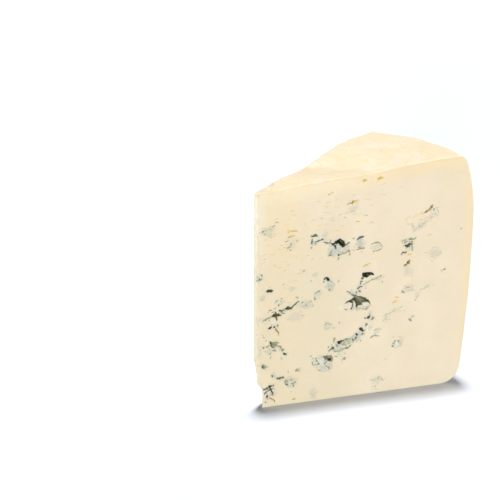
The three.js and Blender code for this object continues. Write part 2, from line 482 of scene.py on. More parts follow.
bare_wedge = make_bare_wedge()
print(f"bare wedge: {len(bare_wedge.data.polygons)} faces")

# %% [markdown]
# ## The openings in the cut faces
# An opening is a gap that stayed between curds. What the knife leaves of it is an outline with
# creased ends, a roof in shadow and a floor that slopes up to the light. So each one is given
# by its spine: points along it with half its width there. `depth` is how far it goes in, and
# `stain` how dark its mould is, from 0 to 1, or below 0 where it is clean and shows warm paste
# with a painted glow and painted shade. `lean` is how fast its middle climbs on the way in, and
# its lit floor depth how deep a floor is painted pale, as painted light; most openings have
# neither. Places and sizes are in millimetres: along is from the wheel's axis towards the rim,
# and up is from the ground.

# %% What an opening is
class Opening(NamedTuple):
    depth: float
    stain: float
    points: list
    lean: float = 0.0
    # How deep the floor of an opening is painted pale where it faces up, as painted light.
    lip: float = 0.0


# %% The openings of the first cut face
OPENINGS = [Opening(*row) for row in (
    # (depth, stain, [(along, up, half width), ...], lean unless it is 0)
    # The upper row, from the tip to the rim.
    (1.2, 0.7, [(26.8, 73.9, 0.2), (28.0, 73.8, 0.35), (28.8, 73.9, 0.4), (29.8, 73.5, 0.25)]),
    (1.2, 0.7, [(27.5, 72.6, 0.12), (27.3, 71.2, 0.25), (27.2, 70.4, 0.5)]),
    (1.0, 0.74, [(28.6, 70.9, 0.15), (30.4, 71.6, 0.22), (32.4, 71.9, 0.3)]),
    (0.7, 0.5, [(27.1, 69.2, 0.25), (27.2, 68.5, 0.3)]),
    (0.9, 0.5, [(32.5, 70.6, 0.2), (34.2, 70.2, 0.2), (35.6, 70.0, 0.3), (36.8, 69.3, 0.3)]),
    (0.6, 0.35, [(35.4, 71.5, 0.2), (35.6, 70.6, 0.2)]),
    (4.0, 0.88, [(36.6, 68.9, 0.35), (37.3, 69.6, 0.6), (38.4, 70.2, 0.85), (39.3, 70.2, 1.1),
        (40.4, 69.5, 1.1), (41.4, 68.6, 0.95), (42.0, 68.0, 0.6)], 0.1),
    (1.3, 1.0, [(37.5, 68.8, 0.43), (37.6, 67.2, 0.36)]),
    (1.0, 0.6, [(42.4, 68.4, 0.27), (44.0, 69.4, 0.15)]),
    (0.6, 0.45, [(35.1, 65.6, 0.2), (36.1, 65.6, 0.2)]),
    (0.8, 0.62, [(35.0, 64.7, 0.35), (36.4, 64.6, 0.3)]),
    (1.1, 1.0, [(38.8, 64.5, 0.48), (39.6, 64.5, 0.46)]),
    (0.7, 0.46, [(39.6, 64.4, 0.23), (41.0, 64.8, 0.28), (43.0, 65.4, 0.28), (44.2, 65.8, 0.38)]),
    (0.7, 0.5, [(38.9, 62.9, 0.3), (39.4, 62.8, 0.3)]),
    (0.6, 0.5, [(43.9, 64.3, 0.3), (44.4, 64.1, 0.3)]),
    (1.4, 0.68, [(47.2, 70.4, 0.2), (48.2, 70.9, 0.3), (49.3, 71.4, 0.35), (50.4, 71.3, 0.2)]),
    (0.7, 0.55, [(45.4, 71.0, 0.3), (45.9, 70.8, 0.3)]),
    (0.7, 0.48, [(46.9, 65.9, 0.19), (49.0, 66.3, 0.24), (50.6, 66.4, 0.29)]),
    (0.6, 0.35, [(45.5, 65.7, 0.2), (46.0, 65.6, 0.2)]),
    (0.7, 0.38, [(53.8, 67.4, 0.12), (55.3, 68.1, 0.25), (57.0, 67.9, 0.22), (58.0, 67.2, 0.2),
        (58.6, 65.8, 0.15), (57.2, 64.7, 0.15), (54.6, 64.4, 0.2)]),
    (2.2, 0.75, [(68.9, 65.5, 0.2), (69.9, 65.3, 0.55), (71.0, 65.5, 0.7), (72.0, 65.6, 0.3)], 0.2),
    (0.8, 0.36, [(71.2, 66.6, 0.4), (71.3, 67.2, 0.4)]),
    (0.9, 0.4, [(70.6, 68.1, 0.2), (71.8, 67.9, 0.3), (73.2, 67.9, 0.2), (74.0, 68.6, 0.25)]),
    (0.8, 0.5, [(72.2, 67.2, 0.2), (72.2, 65.6, 0.25), (72.3, 64.0, 0.15), (72.3, 62.8, 0.2)]),
    (0.5, 0.22, [(69.9, 64.6, 0.25), (70.0, 62.6, 0.2)]),
    (0.5, 0.25, [(67.6, 68.2, 0.2), (68.0, 66.4, 0.25)]),
    (1.0, 0.52, [(67.5, 61.4, 0.2), (68.0, 62.3, 0.35), (69.2, 62.2, 0.25), (69.9, 62.2, 0.2)]),
    (0.6, -0.5, [(70.3, 61.2, 0.2), (71.3, 61.25, 0.25), (72.3, 61.2, 0.17)]),
    (2.0, -0.9, [(68.9, 56.3, 0.25), (69.7, 56.6, 0.4), (70.2, 57.1, 0.35), (70.8, 57.7, 0.5),
        (71.6, 58.4, 0.4)]),
    (2.0, -0.75, [(77.6, 79.0, 0.2), (78.8, 79.6, 0.35), (79.8, 80.4, 0.45), (80.6, 81.3, 0.4),
        (81.2, 82.3, 0.2)]),
    (0.5, -0.25, [(72.4, 77.6, 0.1), (74.2, 78.4, 0.12), (76.2, 78.8, 0.18), (77.8, 79.1, 0.18)]),
    (0.6, -0.2, [(75.4, 76.0, 0.1), (76.8, 76.1, 0.12), (78.2, 76.3, 0.1)]),
    (0.5, 0.28, [(75.0, 72.9, 0.2), (76.6, 73.8, 0.2), (79.6, 76.2, 0.15)]),
    (0.5, 0.4, [(71.8, 74.9, 0.25), (72.2, 74.7, 0.25)]),
    (0.5, 0.45, [(72.1, 73.6, 0.3), (72.5, 73.4, 0.3)]),
    (0.5, 0.75, [(75.1, 73.3, 0.26), (75.5, 73.1, 0.26)]),
    (0.9, 0.65, [(81.5, 80.1, 0.35), (81.9, 79.9, 0.35)]),
    (0.7, 0.46, [(82.0, 78.3, 0.3), (82.7, 78.1, 0.3)]),
    (0.5, 0.2, [(83.0, 79.6, 0.12), (84.0, 78.4, 0.18), (82.8, 76.7, 0.15)]),
    # Clean slits near the top and low down, which show warm paste with a painted glow and painted
    # shade inside.
    (1.0, -0.5, [(49.4, 95.2, 0.2), (50.2, 95.6, 0.42), (51.3, 95.4, 0.2)]),
    (1.0, -0.5, [(55.9, 95.4, 0.2), (57.0, 95.9, 0.5), (58.5, 95.9, 0.3)]),
    (0.7, -0.35, [(34.0, 91.0, 0.1), (35.0, 91.2, 0.2), (36.0, 91.6, 0.2), (36.6, 91.9, 0.1)]),
    (1.2, -0.7, [(42.4, 86.0, 0.1), (43.8, 86.4, 0.18), (44.8, 86.5, 0.28), (45.9, 86.8, 0.42),
        (46.9, 87.3, 0.25), (47.4, 87.7, 0.1)]),
    (0.6, -0.25, [(46.6, 78.2, 0.12), (47.8, 78.3, 0.22), (48.8, 78.3, 0.1)]),
    (0.8, -0.45, [(18.0, 76.7, 0.15), (19.0, 76.8, 0.3), (20.1, 76.8, 0.35), (21.2, 76.7, 0.15)]),
    (0.6, -0.4, [(16.9, 76.5, 0.2), (17.4, 76.5, 0.2)]),
    (0.8, -0.5, [(16.9, 74.3, 0.2), (18.0, 74.6, 0.3), (18.9, 74.75, 0.3), (20.0, 74.8, 0.12)]),
    (0.9, -0.4, [(50.2, 57.9, 0.12), (51.8, 58.8, 0.32), (53.6, 59.1, 0.15)]),
    (0.8, -0.35, [(63.9, 40.2, 0.12), (65.0, 40.7, 0.2), (66.3, 41.0, 0.32), (67.0, 41.0, 0.15)]),
    (0.6, -0.15, [(65.2, 42.7, 0.1), (67.2, 42.4, 0.18)]),
    (0.9, -0.45, [(19.2, 2.1, 0.2), (20.0, 2.3, 0.28), (20.9, 2.3, 0.2)]),
    # The upper corner by the tip.
    (0.8, 0.58, [(6.0, 78.1, 0.18), (6.3, 77.6, 0.34)]),
    (0.5, 0.25, [(6.9, 78.4, 0.15), (7.6, 78.5, 0.15)]),
    (0.4, 0.12, [(8.6, 78.4, 0.12), (9.8, 78.5, 0.12)]),
    (0.6, 0.58, [(6.7, 76.8, 0.27), (7.2, 76.5, 0.27)]),
    (0.5, 0.3, [(9.9, 79.6, 0.12), (11.3, 80.1, 0.22)]),
    (0.5, 0.3, [(11.4, 81.2, 0.12), (12.9, 81.5, 0.2)]),
    (0.6, 0.28, [(15.8, 72.5, 0.12), (16.8, 73.1, 0.15)]),
    (0.6, 0.28, [(18.1, 71.2, 0.22), (18.8, 71.8, 0.25)]),
    (0.5, 0.25, [(20.4, 72.4, 0.15), (21.5, 72.6, 0.12)]),
    (0.7, 0.42, [(16.6, 69.9, 0.18), (17.6, 70.1, 0.28), (18.2, 70.2, 0.15)]),
    (0.6, 0.5, [(17.7, 68.7, 0.3), (18.4, 68.7, 0.3)]),
    # The chain that climbs from the foot to the middle of the face.
    (0.9, 0.68, [(50.4, 53.4, 0.47), (49.8, 52.5, 0.34)]),
    (0.9, 0.64, [(49.7, 51.9, 0.3), (49.5, 51.4, 0.27)]),
    (0.8, 0.7, [(49.3, 51.1, 0.28), (49.0, 50.4, 0.28)]),
    (0.9, 0.62, [(47.8, 48.4, 0.2), (48.6, 48.9, 0.24), (49.9, 49.5, 0.2)]),
    (0.6, 0.42, [(50.2, 49.8, 0.16), (52.6, 50.9, 0.19), (54.3, 51.8, 0.22), (56.1, 52.3, 0.22),
        (57.3, 52.8, 0.24), (58.7, 53.0, 0.29)]),
    (0.5, 0.42, [(58.8, 50.5, 0.31), (59.4, 50.3, 0.31)]),
    (0.7, 0.42, [(43.0, 47.6, 0.22), (44.3, 47.6, 0.22), (44.9, 46.7, 0.22)]),
    (1.0, 0.68, [(45.2, 46.3, 0.28), (46.4, 45.6, 0.3), (47.8, 45.5, 0.28)]),
    (0.9, 0.72, [(49.1, 47.6, 0.39), (48.9, 47.0, 0.32)]),
    (0.8, 0.52, [(47.4, 47.5, 0.25), (47.7, 46.6, 0.25)]),
    (1.8, 0.78, [(47.9, 42.0, 0.4), (47.8, 40.9, 0.42), (47.5, 40.0, 0.28)]),
    (1.2, 0.62, [(45.7, 43.2, 0.3), (45.9, 42.0, 0.2), (45.6, 40.4, 0.25), (45.4, 39.6, 0.35)]),
    (0.6, 0.38, [(42.3, 40.5, 0.2), (42.9, 39.8, 0.2), (43.8, 39.8, 0.12)]),
    (0.5, 0.25, [(48.4, 39.5, 0.1), (51.4, 39.4, 0.13), (53.4, 40.2, 0.13), (54.3, 40.8, 0.16)]),
    (1.8, 1.0, [(52.6, 35.0, 0.32), (53.4, 35.2, 0.68), (54.0, 35.2, 0.36)]),
    (0.9, 0.66, [(54.8, 33.7, 0.35), (55.5, 34.8, 0.45)]),
    (0.8, 0.6, [(51.8, 31.4, 0.28), (52.9, 32.3, 0.41)]),
    (2.2, 0.72, [(49.1, 30.5, 0.5), (50.1, 30.0, 0.7), (51.3, 29.2, 0.42)], 0.2),
    (0.7, 0.5, [(50.4, 28.2, 0.4), (50.9, 27.7, 0.4)]),
    (2.0, 1.0, [(47.7, 27.8, 0.42), (48.2, 28.3, 0.72)]),
    (0.7, 0.75, [(47.9, 27.0, 0.38), (47.4, 25.7, 0.3)]),
    (0.7, 0.55, [(49.6, 25.1, 0.34), (50.0, 25.0, 0.34)]),
    (2.2, 1.0, [(39.5, 25.0, 0.35), (40.2, 25.3, 0.62), (41.3, 25.9, 0.4), (42.9, 26.1, 0.28),
        (44.3, 26.5, 0.25), (45.6, 26.75, 0.15)], 0.2),
    (1.1, 0.3, [(41.2, 24.2, 0.4), (43.0, 24.6, 1.2), (45.2, 25.5, 0.9), (46.2, 26.0, 0.3)], 0.5),
    (0.9, 0.58, [(46.0, 26.5, 0.2), (46.4, 25.8, 0.28), (46.7, 25.2, 0.3)]),
    (0.9, 0.52, [(45.6, 23.6, 0.15), (44.3, 22.7, 0.3), (43.2, 22.4, 0.25), (41.6, 22.0, 0.15)]),
    (0.6, 0.5, [(38.7, 24.7, 0.3), (39.5, 23.5, 0.3)]),
    (0.8, 0.52, [(37.9, 27.8, 0.2), (38.0, 27.1, 0.35), (37.8, 26.6, 0.25), (37.9, 25.7, 0.4)]),
    (1.3, 0.7, [(35.4, 22.0, 0.2), (36.4, 22.7, 0.25), (37.2, 23.2, 0.45), (37.9, 23.4, 0.3)]),
    (0.6, 0.6, [(35.2, 23.9, 0.3), (35.6, 23.7, 0.3)]),
    (0.6, 0.35, [(38.6, 21.2, 0.2), (40.8, 21.9, 0.25)]),
    (1.8, 0.46, [(32.9, 19.9, 0.2), (34.2, 19.4, 0.85), (35.8, 18.7, 1.3), (36.6, 17.8, 0.9),
        (36.5, 17.1, 0.4)], 0.25),
    (1.6, 0.5, [(33.2, 19.8, 0.12), (34.4, 19.7, 0.3), (35.8, 19.7, 0.22)]),
    (2.8, 0.85, [(35.6, 17.6, 0.15), (36.4, 17.7, 0.35), (37.0, 17.9, 0.3)]),
    (0.7, 0.6, [(34.2, 17.4, 0.36), (33.7, 16.2, 0.26)]),
    (0.7, 0.42, [(33.9, 15.9, 0.1), (35.0, 15.0, 0.2), (35.8, 14.5, 0.35), (36.3, 13.9, 0.25)]),
    (0.9, 0.56, [(30.7, 17.2, 0.2), (30.9, 16.5, 0.38)]),
    (0.6, 0.42, [(29.6, 19.6, 0.15), (30.0, 18.6, 0.2), (30.6, 17.7, 0.2)]),
    (0.6, 0.34, [(27.1, 20.7, 0.3), (27.8, 20.8, 0.3)]),
    (0.5, 0.35, [(28.2, 19.5, 0.2), (28.8, 19.5, 0.2)]),
    (0.5, 0.52, [(28.1, 18.2, 0.22), (28.1, 17.0, 0.25)]),
    (0.5, 0.2, [(30.4, 14.3, 0.2), (31.2, 14.3, 0.2)]),
    (0.7, 0.46, [(42.2, 17.5, 0.45), (43.1, 17.9, 0.4)]),
    (0.5, 0.25, [(41.4, 15.7, 0.25), (42.0, 15.8, 0.25)]),
    (0.6, 0.25, [(38.4, 19.4, 0.25), (39.8, 19.0, 0.28)]),
    # The tip's own veins.
    (0.7, 0.45, [(4.5, 58.2, 0.15), (4.6, 57.2, 0.25), (5.0, 57.3, 0.2), (5.9, 57.5, 0.2)]),
    (0.6, 0.66, [(3.4, 56.9, 0.35), (4.1, 56.8, 0.35)]),
    (0.6, 0.48, [(5.4, 59.5, 0.25), (5.5, 58.9, 0.25)]),
    (0.5, 0.38, [(3.6, 59.2, 0.2), (3.7, 58.4, 0.2)]),
    (1.6, 0.8, [(7.6, 51.9, 0.3), (8.5, 52.2, 0.6), (9.5, 52.1, 0.5), (10.6, 52.1, 0.25)]),
    (0.5, 0.36, [(14.8, 54.2, 0.25), (15.3, 54.2, 0.25)]),
    (0.6, 0.66, [(11.8, 47.4, 0.23), (12.0, 46.8, 0.23)]),
    (0.6, 0.5, [(13.2, 45.8, 0.3), (13.0, 44.9, 0.3)]),
    (0.5, 0.36, [(14.1, 48.0, 0.25), (14.6, 48.0, 0.25)]),
    (0.5, 0.25, [(20.5, 48.3, 0.2), (21.8, 47.6, 0.25)]),
    (0.6, 0.38, [(8.8, 43.4, 0.17), (9.9, 43.4, 0.17)]),
    (0.5, 0.46, [(10.0, 42.5, 0.12), (11.0, 42.5, 0.12)]),
    (1.8, 0.76, [(9.9, 40.4, 0.3), (10.8, 40.8, 0.6), (11.8, 41.0, 0.8), (13.0, 40.8, 0.6),
        (14.2, 40.8, 0.2)], 0.1),
    (1.0, 0.62, [(11.4, 42.6, 0.12), (11.6, 41.6, 0.3)]),
    (1.0, 0.62, [(12.1, 40.2, 0.38), (12.1, 38.4, 0.2)]),
    (0.8, 0.38, [(5.9, 38.9, 0.12), (7.2, 39.2, 0.28), (8.2, 39.9, 0.28), (9.4, 40.4, 0.22)]),
    (1.0, 0.64, [(13.0, 42.9, 0.2), (13.9, 42.7, 0.35), (14.7, 42.3, 0.3)]),
    (1.5, 0.78, [(16.0, 43.4, 0.2), (17.0, 43.4, 0.55), (18.0, 43.4, 0.55), (18.9, 43.3, 0.4)]),
    (0.6, 0.28, [(14.8, 43.4, 0.2), (16.0, 43.5, 0.2)]),
    (1.2, 0.66, [(19.0, 43.6, 0.25), (19.8, 44.5, 0.25), (20.4, 45.1, 0.2), (21.2, 45.7, 0.25),
        (22.1, 45.6, 0.2)]),
    (0.6, 0.48, [(23.1, 45.3, 0.28), (23.6, 45.3, 0.26)]),
    (1.4, 0.85, [(8.5, 35.4, 0.35), (9.3, 35.5, 0.45), (10.2, 35.9, 0.2)]),
    (1.4, 0.95, [(10.8, 36.0, 0.25), (11.6, 35.7, 0.58)]),
    (0.7, 0.52, [(12.4, 36.4, 0.35), (13.0, 36.4, 0.35)]),
    (1.6, -0.4, [(11.8, 35.2, 0.28), (12.4, 34.1, 0.32), (12.9, 33.1, 0.25), (13.2, 31.8, 0.13)]),
    (1.4, 0.42, [(9.7, 29.2, 0.3), (10.4, 28.2, 0.9), (11.4, 27.9, 0.9), (12.2, 27.4, 0.5)], 0.2),
    (1.8, 0.86, [(9.6, 29.4, 0.2), (9.7, 28.8, 0.42), (10.0, 28.2, 0.25)]),
    (1.2, 0.55, [(10.3, 29.0, 0.25), (11.5, 28.6, 0.28), (12.2, 28.0, 0.15)]),
    (0.6, 0.46, [(9.0, 27.9, 0.2), (8.4, 27.6, 0.2), (7.6, 27.3, 0.2)]),
    (0.9, 0.5, [(10.3, 27.2, 0.25), (11.3, 26.6, 0.2)]),
    (0.7, 0.4, [(12.6, 27.4, 0.2), (13.6, 26.9, 0.25), (14.1, 26.6, 0.3), (13.8, 25.6, 0.15)]),
    (0.6, 0.45, [(10.6, 25.7, 0.15), (11.2, 25.2, 0.2), (12.0, 25.2, 0.15)]),
    (0.7, 0.42, [(6.1, 27.2, 0.3), (6.8, 27.4, 0.35)]),
    (1.6, 0.95, [(15.1, 23.6, 0.2), (15.5, 23.3, 0.32), (16.0, 23.0, 0.42), (16.7, 23.05, 0.32)]),
    (0.7, 0.5, [(14.4, 24.8, 0.46), (15.6, 25.3, 0.31)]),
    (0.5, 0.42, [(10.0, 22.9, 0.24), (9.4, 21.7, 0.18)]),
    (0.9, 0.44, [(5.7, 18.1, 0.35), (6.4, 18.5, 0.75), (7.3, 18.9, 0.45)]),
    (1.1, 0.72, [(5.9, 18.0, 0.2), (6.8, 18.4, 0.25)]),
    (0.9, 0.74, [(10.2, 14.3, 0.3), (10.4, 13.9, 0.5), (10.5, 13.5, 0.3)]),
    (1.1, 0.66, [(12.2, 12.7, 0.2), (13.2, 12.55, 0.35), (14.2, 12.5, 0.42), (15.5, 12.45, 0.3)]),
    (0.6, 0.56, [(16.6, 11.4, 0.2), (16.4, 10.3, 0.2), (16.5, 9.3, 0.25), (17.5, 9.1, 0.2)]),
    (0.6, 0.58, [(18.5, 11.4, 0.25), (19.1, 11.1, 0.2)]),
    (0.6, 0.42, [(18.7, 9.3, 0.15), (20.0, 9.3, 0.25), (20.6, 10.2, 0.15)]),
    (0.8, 1.0, [(19.6, 8.2, 0.42), (19.9, 8.0, 0.42)]),
    (0.7, 0.52, [(21.0, 15.4, 0.28), (21.0, 14.7, 0.28)]),
    (0.5, 0.25, [(17.1, 15.0, 0.3), (17.7, 15.0, 0.3)]),
    # The worn toe.
    (2.2, 1.0, [(8.8, 9.1, 0.33), (9.5, 9.4, 0.63), (10.2, 9.8, 0.38)]),
    (0.9, 0.78, [(10.6, 9.7, 0.28), (11.1, 9.6, 0.3)]),
    (1.3, 0.52, [(8.9, 9.15, 0.37), (8.1, 8.7, 0.34), (7.3, 8.35, 0.32), (6.0, 8.4, 0.27)]),
    (1.2, 0.78, [(9.45, 8.9, 0.22), (9.5, 8.2, 0.28), (9.9, 7.5, 0.22), (10.35, 6.7, 0.33),
        (10.7, 5.9, 0.25), (10.2, 5.2, 0.18)]),
    (1.1, 0.52, [(9.2, 7.9, 0.28), (8.2, 7.3, 0.28), (7.3, 6.5, 0.28), (6.9, 6.0, 0.22)]),
    (1.0, 0.8, [(7.7, 4.9, 0.44), (8.6, 4.9, 0.39)]),
    (0.9, 0.62, [(7.7, 4.7, 0.4), (8.1, 3.8, 0.35)]),
    (1.4, -0.2, [(9.2, 4.3, 0.28), (9.7, 3.8, 0.28), (11.1, 2.8, 0.2), (11.8, 2.0, 0.12)]),
    (0.5, 0.32, [(7.1, 2.4, 0.25), (7.8, 2.4, 0.25)]),
    # Lone openings and faint cracks between the veins.
    (2.6, 1.0, [(33.0, 54.2, 0.25), (33.4, 54.8, 0.4), (34.1, 54.7, 0.5), (34.8, 54.0, 0.5),
        (35.3, 53.5, 0.3)], 0.2),
    (0.7, 0.58, [(32.8, 53.8, 0.27), (32.9, 53.0, 0.32)]),
    (0.6, 0.45, [(35.8, 53.2, 0.2), (36.3, 53.2, 0.2)]),
    (0.6, 0.52, [(35.0, 49.4, 0.3), (35.8, 49.7, 0.35)]),
    (0.5, 0.3, [(35.5, 51.8, 0.3), (35.0, 51.0, 0.3)]),
    (0.5, 0.24, [(36.8, 50.5, 0.15), (37.5, 51.6, 0.15)]),
    (0.6, 0.4, [(29.1, 48.2, 0.28), (29.7, 49.2, 0.33), (31.2, 49.6, 0.23)]),
    (0.7, 0.46, [(28.8, 47.0, 0.26), (29.0, 45.8, 0.36)]),
    (0.5, 0.32, [(26.8, 45.5, 0.3), (27.6, 45.5, 0.3)]),
    (0.8, 0.56, [(24.7, 43.9, 0.3), (25.1, 43.6, 0.33)]),
    (0.5, 0.24, [(27.0, 54.6, 0.25), (27.5, 54.4, 0.2)]),
    (0.6, 0.38, [(33.6, 34.2, 0.2), (34.9, 34.6, 0.25), (36.2, 34.2, 0.17)]),
    (0.5, 0.26, [(33.4, 33.0, 0.15), (34.6, 32.2, 0.2), (36.2, 32.6, 0.15)]),
    (0.6, 0.42, [(39.9, 34.6, 0.25), (40.1, 34.0, 0.25)]),
    (0.7, 0.42, [(54.4, 25.6, 0.25), (55.3, 26.3, 0.35), (56.2, 26.5, 0.25), (58.4, 26.1, 0.15)]),
    (0.5, 0.35, [(56.1, 28.8, 0.2), (56.6, 28.6, 0.2)]),
    (0.5, 0.2, [(60.8, 35.5, 0.22), (63.2, 35.9, 0.12), (66.5, 37.2, 0.12), (68.7, 38.2, 0.2)]),
    (0.7, 0.45, [(64.7, 20.2, 0.35), (64.9, 20.9, 0.3)]),
    (0.6, 0.4, [(65.1, 21.3, 0.2), (65.4, 22.2, 0.22), (65.9, 23.3, 0.25)]),
    (0.6, 0.32, [(66.9, 23.0, 0.18), (67.7, 22.4, 0.38)]),
    (0.4, 0.2, [(64.9, 24.9, 0.2), (65.5, 24.7, 0.2)]),
    (0.5, 0.26, [(70.3, 46.9, 0.2), (70.9, 46.7, 0.32), (71.8, 46.3, 0.22)]),
    (0.7, 0.42, [(68.0, 45.2, 0.2), (68.7, 44.8, 0.32), (69.6, 44.5, 0.25)]),
    (0.5, 0.32, [(74.3, 40.2, 0.23), (75.2, 41.4, 0.25), (75.8, 42.4, 0.15)]),
    (0.5, 0.28, [(76.6, 44.8, 0.12), (78.4, 45.2, 0.2), (80.2, 46.6, 0.2)]),
    (0.7, 0.52, [(71.6, 32.1, 0.28), (72.6, 31.6, 0.44), (73.1, 31.2, 0.31)]),
    (0.5, 0.24, [(54.6, 6.0, 0.12), (57.0, 6.3, 0.22), (58.6, 6.6, 0.32), (59.6, 6.9, 0.15)]),
    (0.5, 0.26, [(60.3, 6.2, 0.2), (60.3, 5.6, 0.2)]),
    (0.5, 0.26, [(56.5, 3.1, 0.3), (57.4, 3.1, 0.3)]),
    (0.7, 0.52, [(86.8, 52.7, 0.3), (88.0, 53.0, 0.34)]),
    (0.5, 0.3, [(94.2, 70.3, 0.21), (95.0, 70.4, 0.21)]),
    (0.5, 0.34, [(23.6, 59.0, 0.32), (24.2, 58.9, 0.32)]),
    (0.5, 0.26, [(44.5, 83.0, 0.25), (45.1, 82.8, 0.25)]),
    (0.5, 0.28, [(50.0, 80.4, 0.16), (51.8, 80.4, 0.19)]),
)]
# The widest ones have a ring of points round them in place of a spine.
CAVITIES = [Opening(*row) for row in (
    # (depth, stain, [(along, up), ...], lean)
    (4.2, 1.0, [(50.3, 55.4), (52.8, 55.4), (54.9, 54.7), (55.2, 53.7), (53.8, 54.0), (52.8, 53.4),
        (52.0, 52.9), (51.1, 53.3), (50.1, 53.8), (49.9, 54.7)], 0.25),
    (4.6, 0.53, [(42.4, 42.6), (43.4, 43.4), (45.0, 44.0), (46.6, 45.0), (48.6, 45.2), (50.6, 44.6),
        (52.3, 43.6), (53.5, 42.4), (53.8, 41.1), (52.8, 41.5), (51.6, 42.0), (50.3, 41.1),
        (48.3, 41.2), (46.8, 42.0), (45.4, 42.4), (44.3, 42.9), (43.3, 42.6)], 0.3),
)]
print(f"first cut face: {len(OPENINGS)} cracks, {len(CAVITIES)} cavities")

# %% [markdown]
# The second cut face has openings of the same kinds and sizes. Where each one lies doesn't
# matter there, so a rule strings them along slanting veins. All its draws come from one seed,
# so every run gives the same cheese.

# %% The openings of the second cut face
VEINS = [(24.0, 14.0), (42.0, 30.0), (58.0, 10.0), (66.0, 48.0)]
VEIN_OPENINGS = 11
VEIN_STEP = np.array((1.7, 4.0))
VEIN_SCATTER = (2.0, 1.8)
VEIN_TILTS = (-15, 55)
VEIN_TOP = RIM_HEIGHT - 12
LARGE_SHARE = 0.25
CLEAN_SHARE = 0.2
CLEAN_STAIN = -0.5
SPINE_SHARES = (0.3, 1.0, 0.9, 0.3)
SPINE_BEND = 0.12
# The least and most of each size, and of the width as a share of the length.
LARGE = {"length": (4, 7), "width": (0.16, 0.24), "stain": (0.7, 1.0), "depth": (3, 5)}
SMALL = {"length": (1.2, 3.6), "width": (0.1, 0.22), "stain": (0.35, 0.8), "depth": (0.7, 2.0)}
LARGE_LEAN = 0.4
# How deep the larger openings' floors are painted pale as if lit.
LARGE_LIT_FLOOR_DEPTH = 0.9


def strewn_openings(seed):
    random = np.random.default_rng(seed)
    made = []
    for start in VEINS:
        for step in range(VEIN_OPENINGS):
            along, up = [at + move + random.normal(0, scatter)
                         for at, move, scatter in zip(start, VEIN_STEP * step, VEIN_SCATTER)]
            if up > VEIN_TOP:
                continue
            large = random.random() < LARGE_SHARE
            kind = LARGE if large else SMALL
            length = random.uniform(*kind["length"])
            tilt = math.radians(random.uniform(*VEIN_TILTS))
            width = length * random.uniform(*kind["width"])
            offsets = np.linspace(-0.5, 0.5, len(SPINE_SHARES)) * length
            bend = random.normal(0, SPINE_BEND * length, len(SPINE_SHARES))
            spine = [
                (along + o * math.cos(tilt) - b * math.sin(tilt),
                 up + o * math.sin(tilt) + b * math.cos(tilt),
                 width * share)
                for o, b, share in zip(offsets, bend, SPINE_SHARES)
            ]
            clean = not large and random.random() < CLEAN_SHARE
            stain = CLEAN_STAIN if clean else random.uniform(*kind["stain"])
            depth = random.uniform(*kind["depth"])
            shelf = (LARGE_LEAN, LARGE_LIT_FLOOR_DEPTH) if large else ()
            made.append(Opening(depth, stain, spine, *shelf))
    return made


second_openings = strewn_openings(seed=11)
print(f"second cut face: {len(second_openings)} openings")

# %% [markdown]
# Each opening becomes a closed cutter, lofted from rings that follow its outline: one outside
# the face, one on it, and more that shrink on the way in. A subtraction then leaves a crisp
# rim, which a displaced grid can't have. Curd breaks raggedly, so noise pulls the spine about,
# swells and pinches its width, and roughens the rings.

# %% Smooth paths and noise on a face
SPINE_STEP = 0.34


def smooth_path(points, step, closed=False):
    """A curve through the points, sampled about every `step` of its length."""
    points = np.asarray(points, float)
    if closed:
        ends = np.vstack([points[-1], points, points[:2]])
    else:
        ends = np.vstack([2 * points[0] - points[1], points, 2 * points[-1] - points[-2]])
    path = []
    for a, b, c, d in zip(ends[:-3], ends[1:-2], ends[2:-1], ends[3:]):
        count = max(2, int(math.ceil(np.linalg.norm(c[:2] - b[:2]) / step)))
        for t in np.arange(count)[:, None] / count:
            path.append(0.5 * (2 * b + (c - a) * t + (2 * a - 5 * b + 4 * c - d) * t ** 2
                               + (3 * b - a - 3 * c + d) * t ** 3).ravel())
    if not closed:
        path.append(points[-1])
    return np.array(path)


def rough(along, up, salt, scale):
    """Smooth seeded noise about 0, for a place on a face."""
    return noise.noise(Vector((along * scale, up * scale, 3.7 * salt)))


# %% The outline of a crack
LEAST_HALF = 0.05
KNIFE_WIDENS = 0.04
SWAY, SWAY_BY_WIDTH, MOST_SWAY = 0.2, 0.3, 0.4
SHORT_SWAY_SHARE = 0.3
SIDE_ROUGHNESS = 0.5
# The noises of a crack's outline: (salt, grains in a millimetre).
LONG_SWAY, SHORT_SWAY = (1, 0.75), (5, 1.9)
SWELLING, LEFT_SIDE, RIGHT_SIDE = (9, 1.3), (13, 1.7), (17, 1.7)
THIN_SWELL, WIDE_SWELL, WIDE_HALF = 0.9, 0.35, 0.9


def crack_outline(spine, salt, step=SPINE_STEP):
    """The two sides of a crack: its spine is pulled about, and its width swells and pinches."""
    path = smooth_path(spine, step)
    tangent = np.gradient(path[:, :2], axis=0)
    tangent /= np.linalg.norm(tangent, axis=1)[:, None]
    side = np.stack([-tangent[:, 1], tangent[:, 0]], axis=1)
    widest = path[:, 2].max()
    path[:, 2] += KNIFE_WIDENS
    sway = min(MOST_SWAY, SWAY + SWAY_BY_WIDTH * widest)
    most_swell = THIN_SWELL if widest < WIDE_HALF else WIDE_SWELL
    long_salt, long_scale = LONG_SWAY
    rows = []
    for (along, up, half), across in zip(path, side):
        pull = sway * rough(along, up, long_salt + salt, long_scale)
        pull = pull + SHORT_SWAY_SHARE * sway * rough(along, up, *SHORT_SWAY)
        swell = 1 + most_swell * rough(along, up, *SWELLING)
        left, right = [
            max(half * swell * (1 + SIDE_ROUGHNESS * rough(along, up, *edge)), LEAST_HALF)
            for edge in (LEFT_SIDE, RIGHT_SIDE)
        ]
        middle = np.array([along, up]) + across * pull
        rows.append((middle + across * left, middle - across * right,
                     max(half * swell, LEAST_HALF)))
    left, right, half = (np.array(column) for column in zip(*rows))
    return np.vstack([left, right[::-1]]), np.concatenate([half, half[::-1]])


# %% The outline of a cavity
# Its two noises: (reach in millimetres, salt, grains in a millimetre).
CAVITY_NOISES = ((0.2, 21, 0.9), (0.1, 23, 2.2))


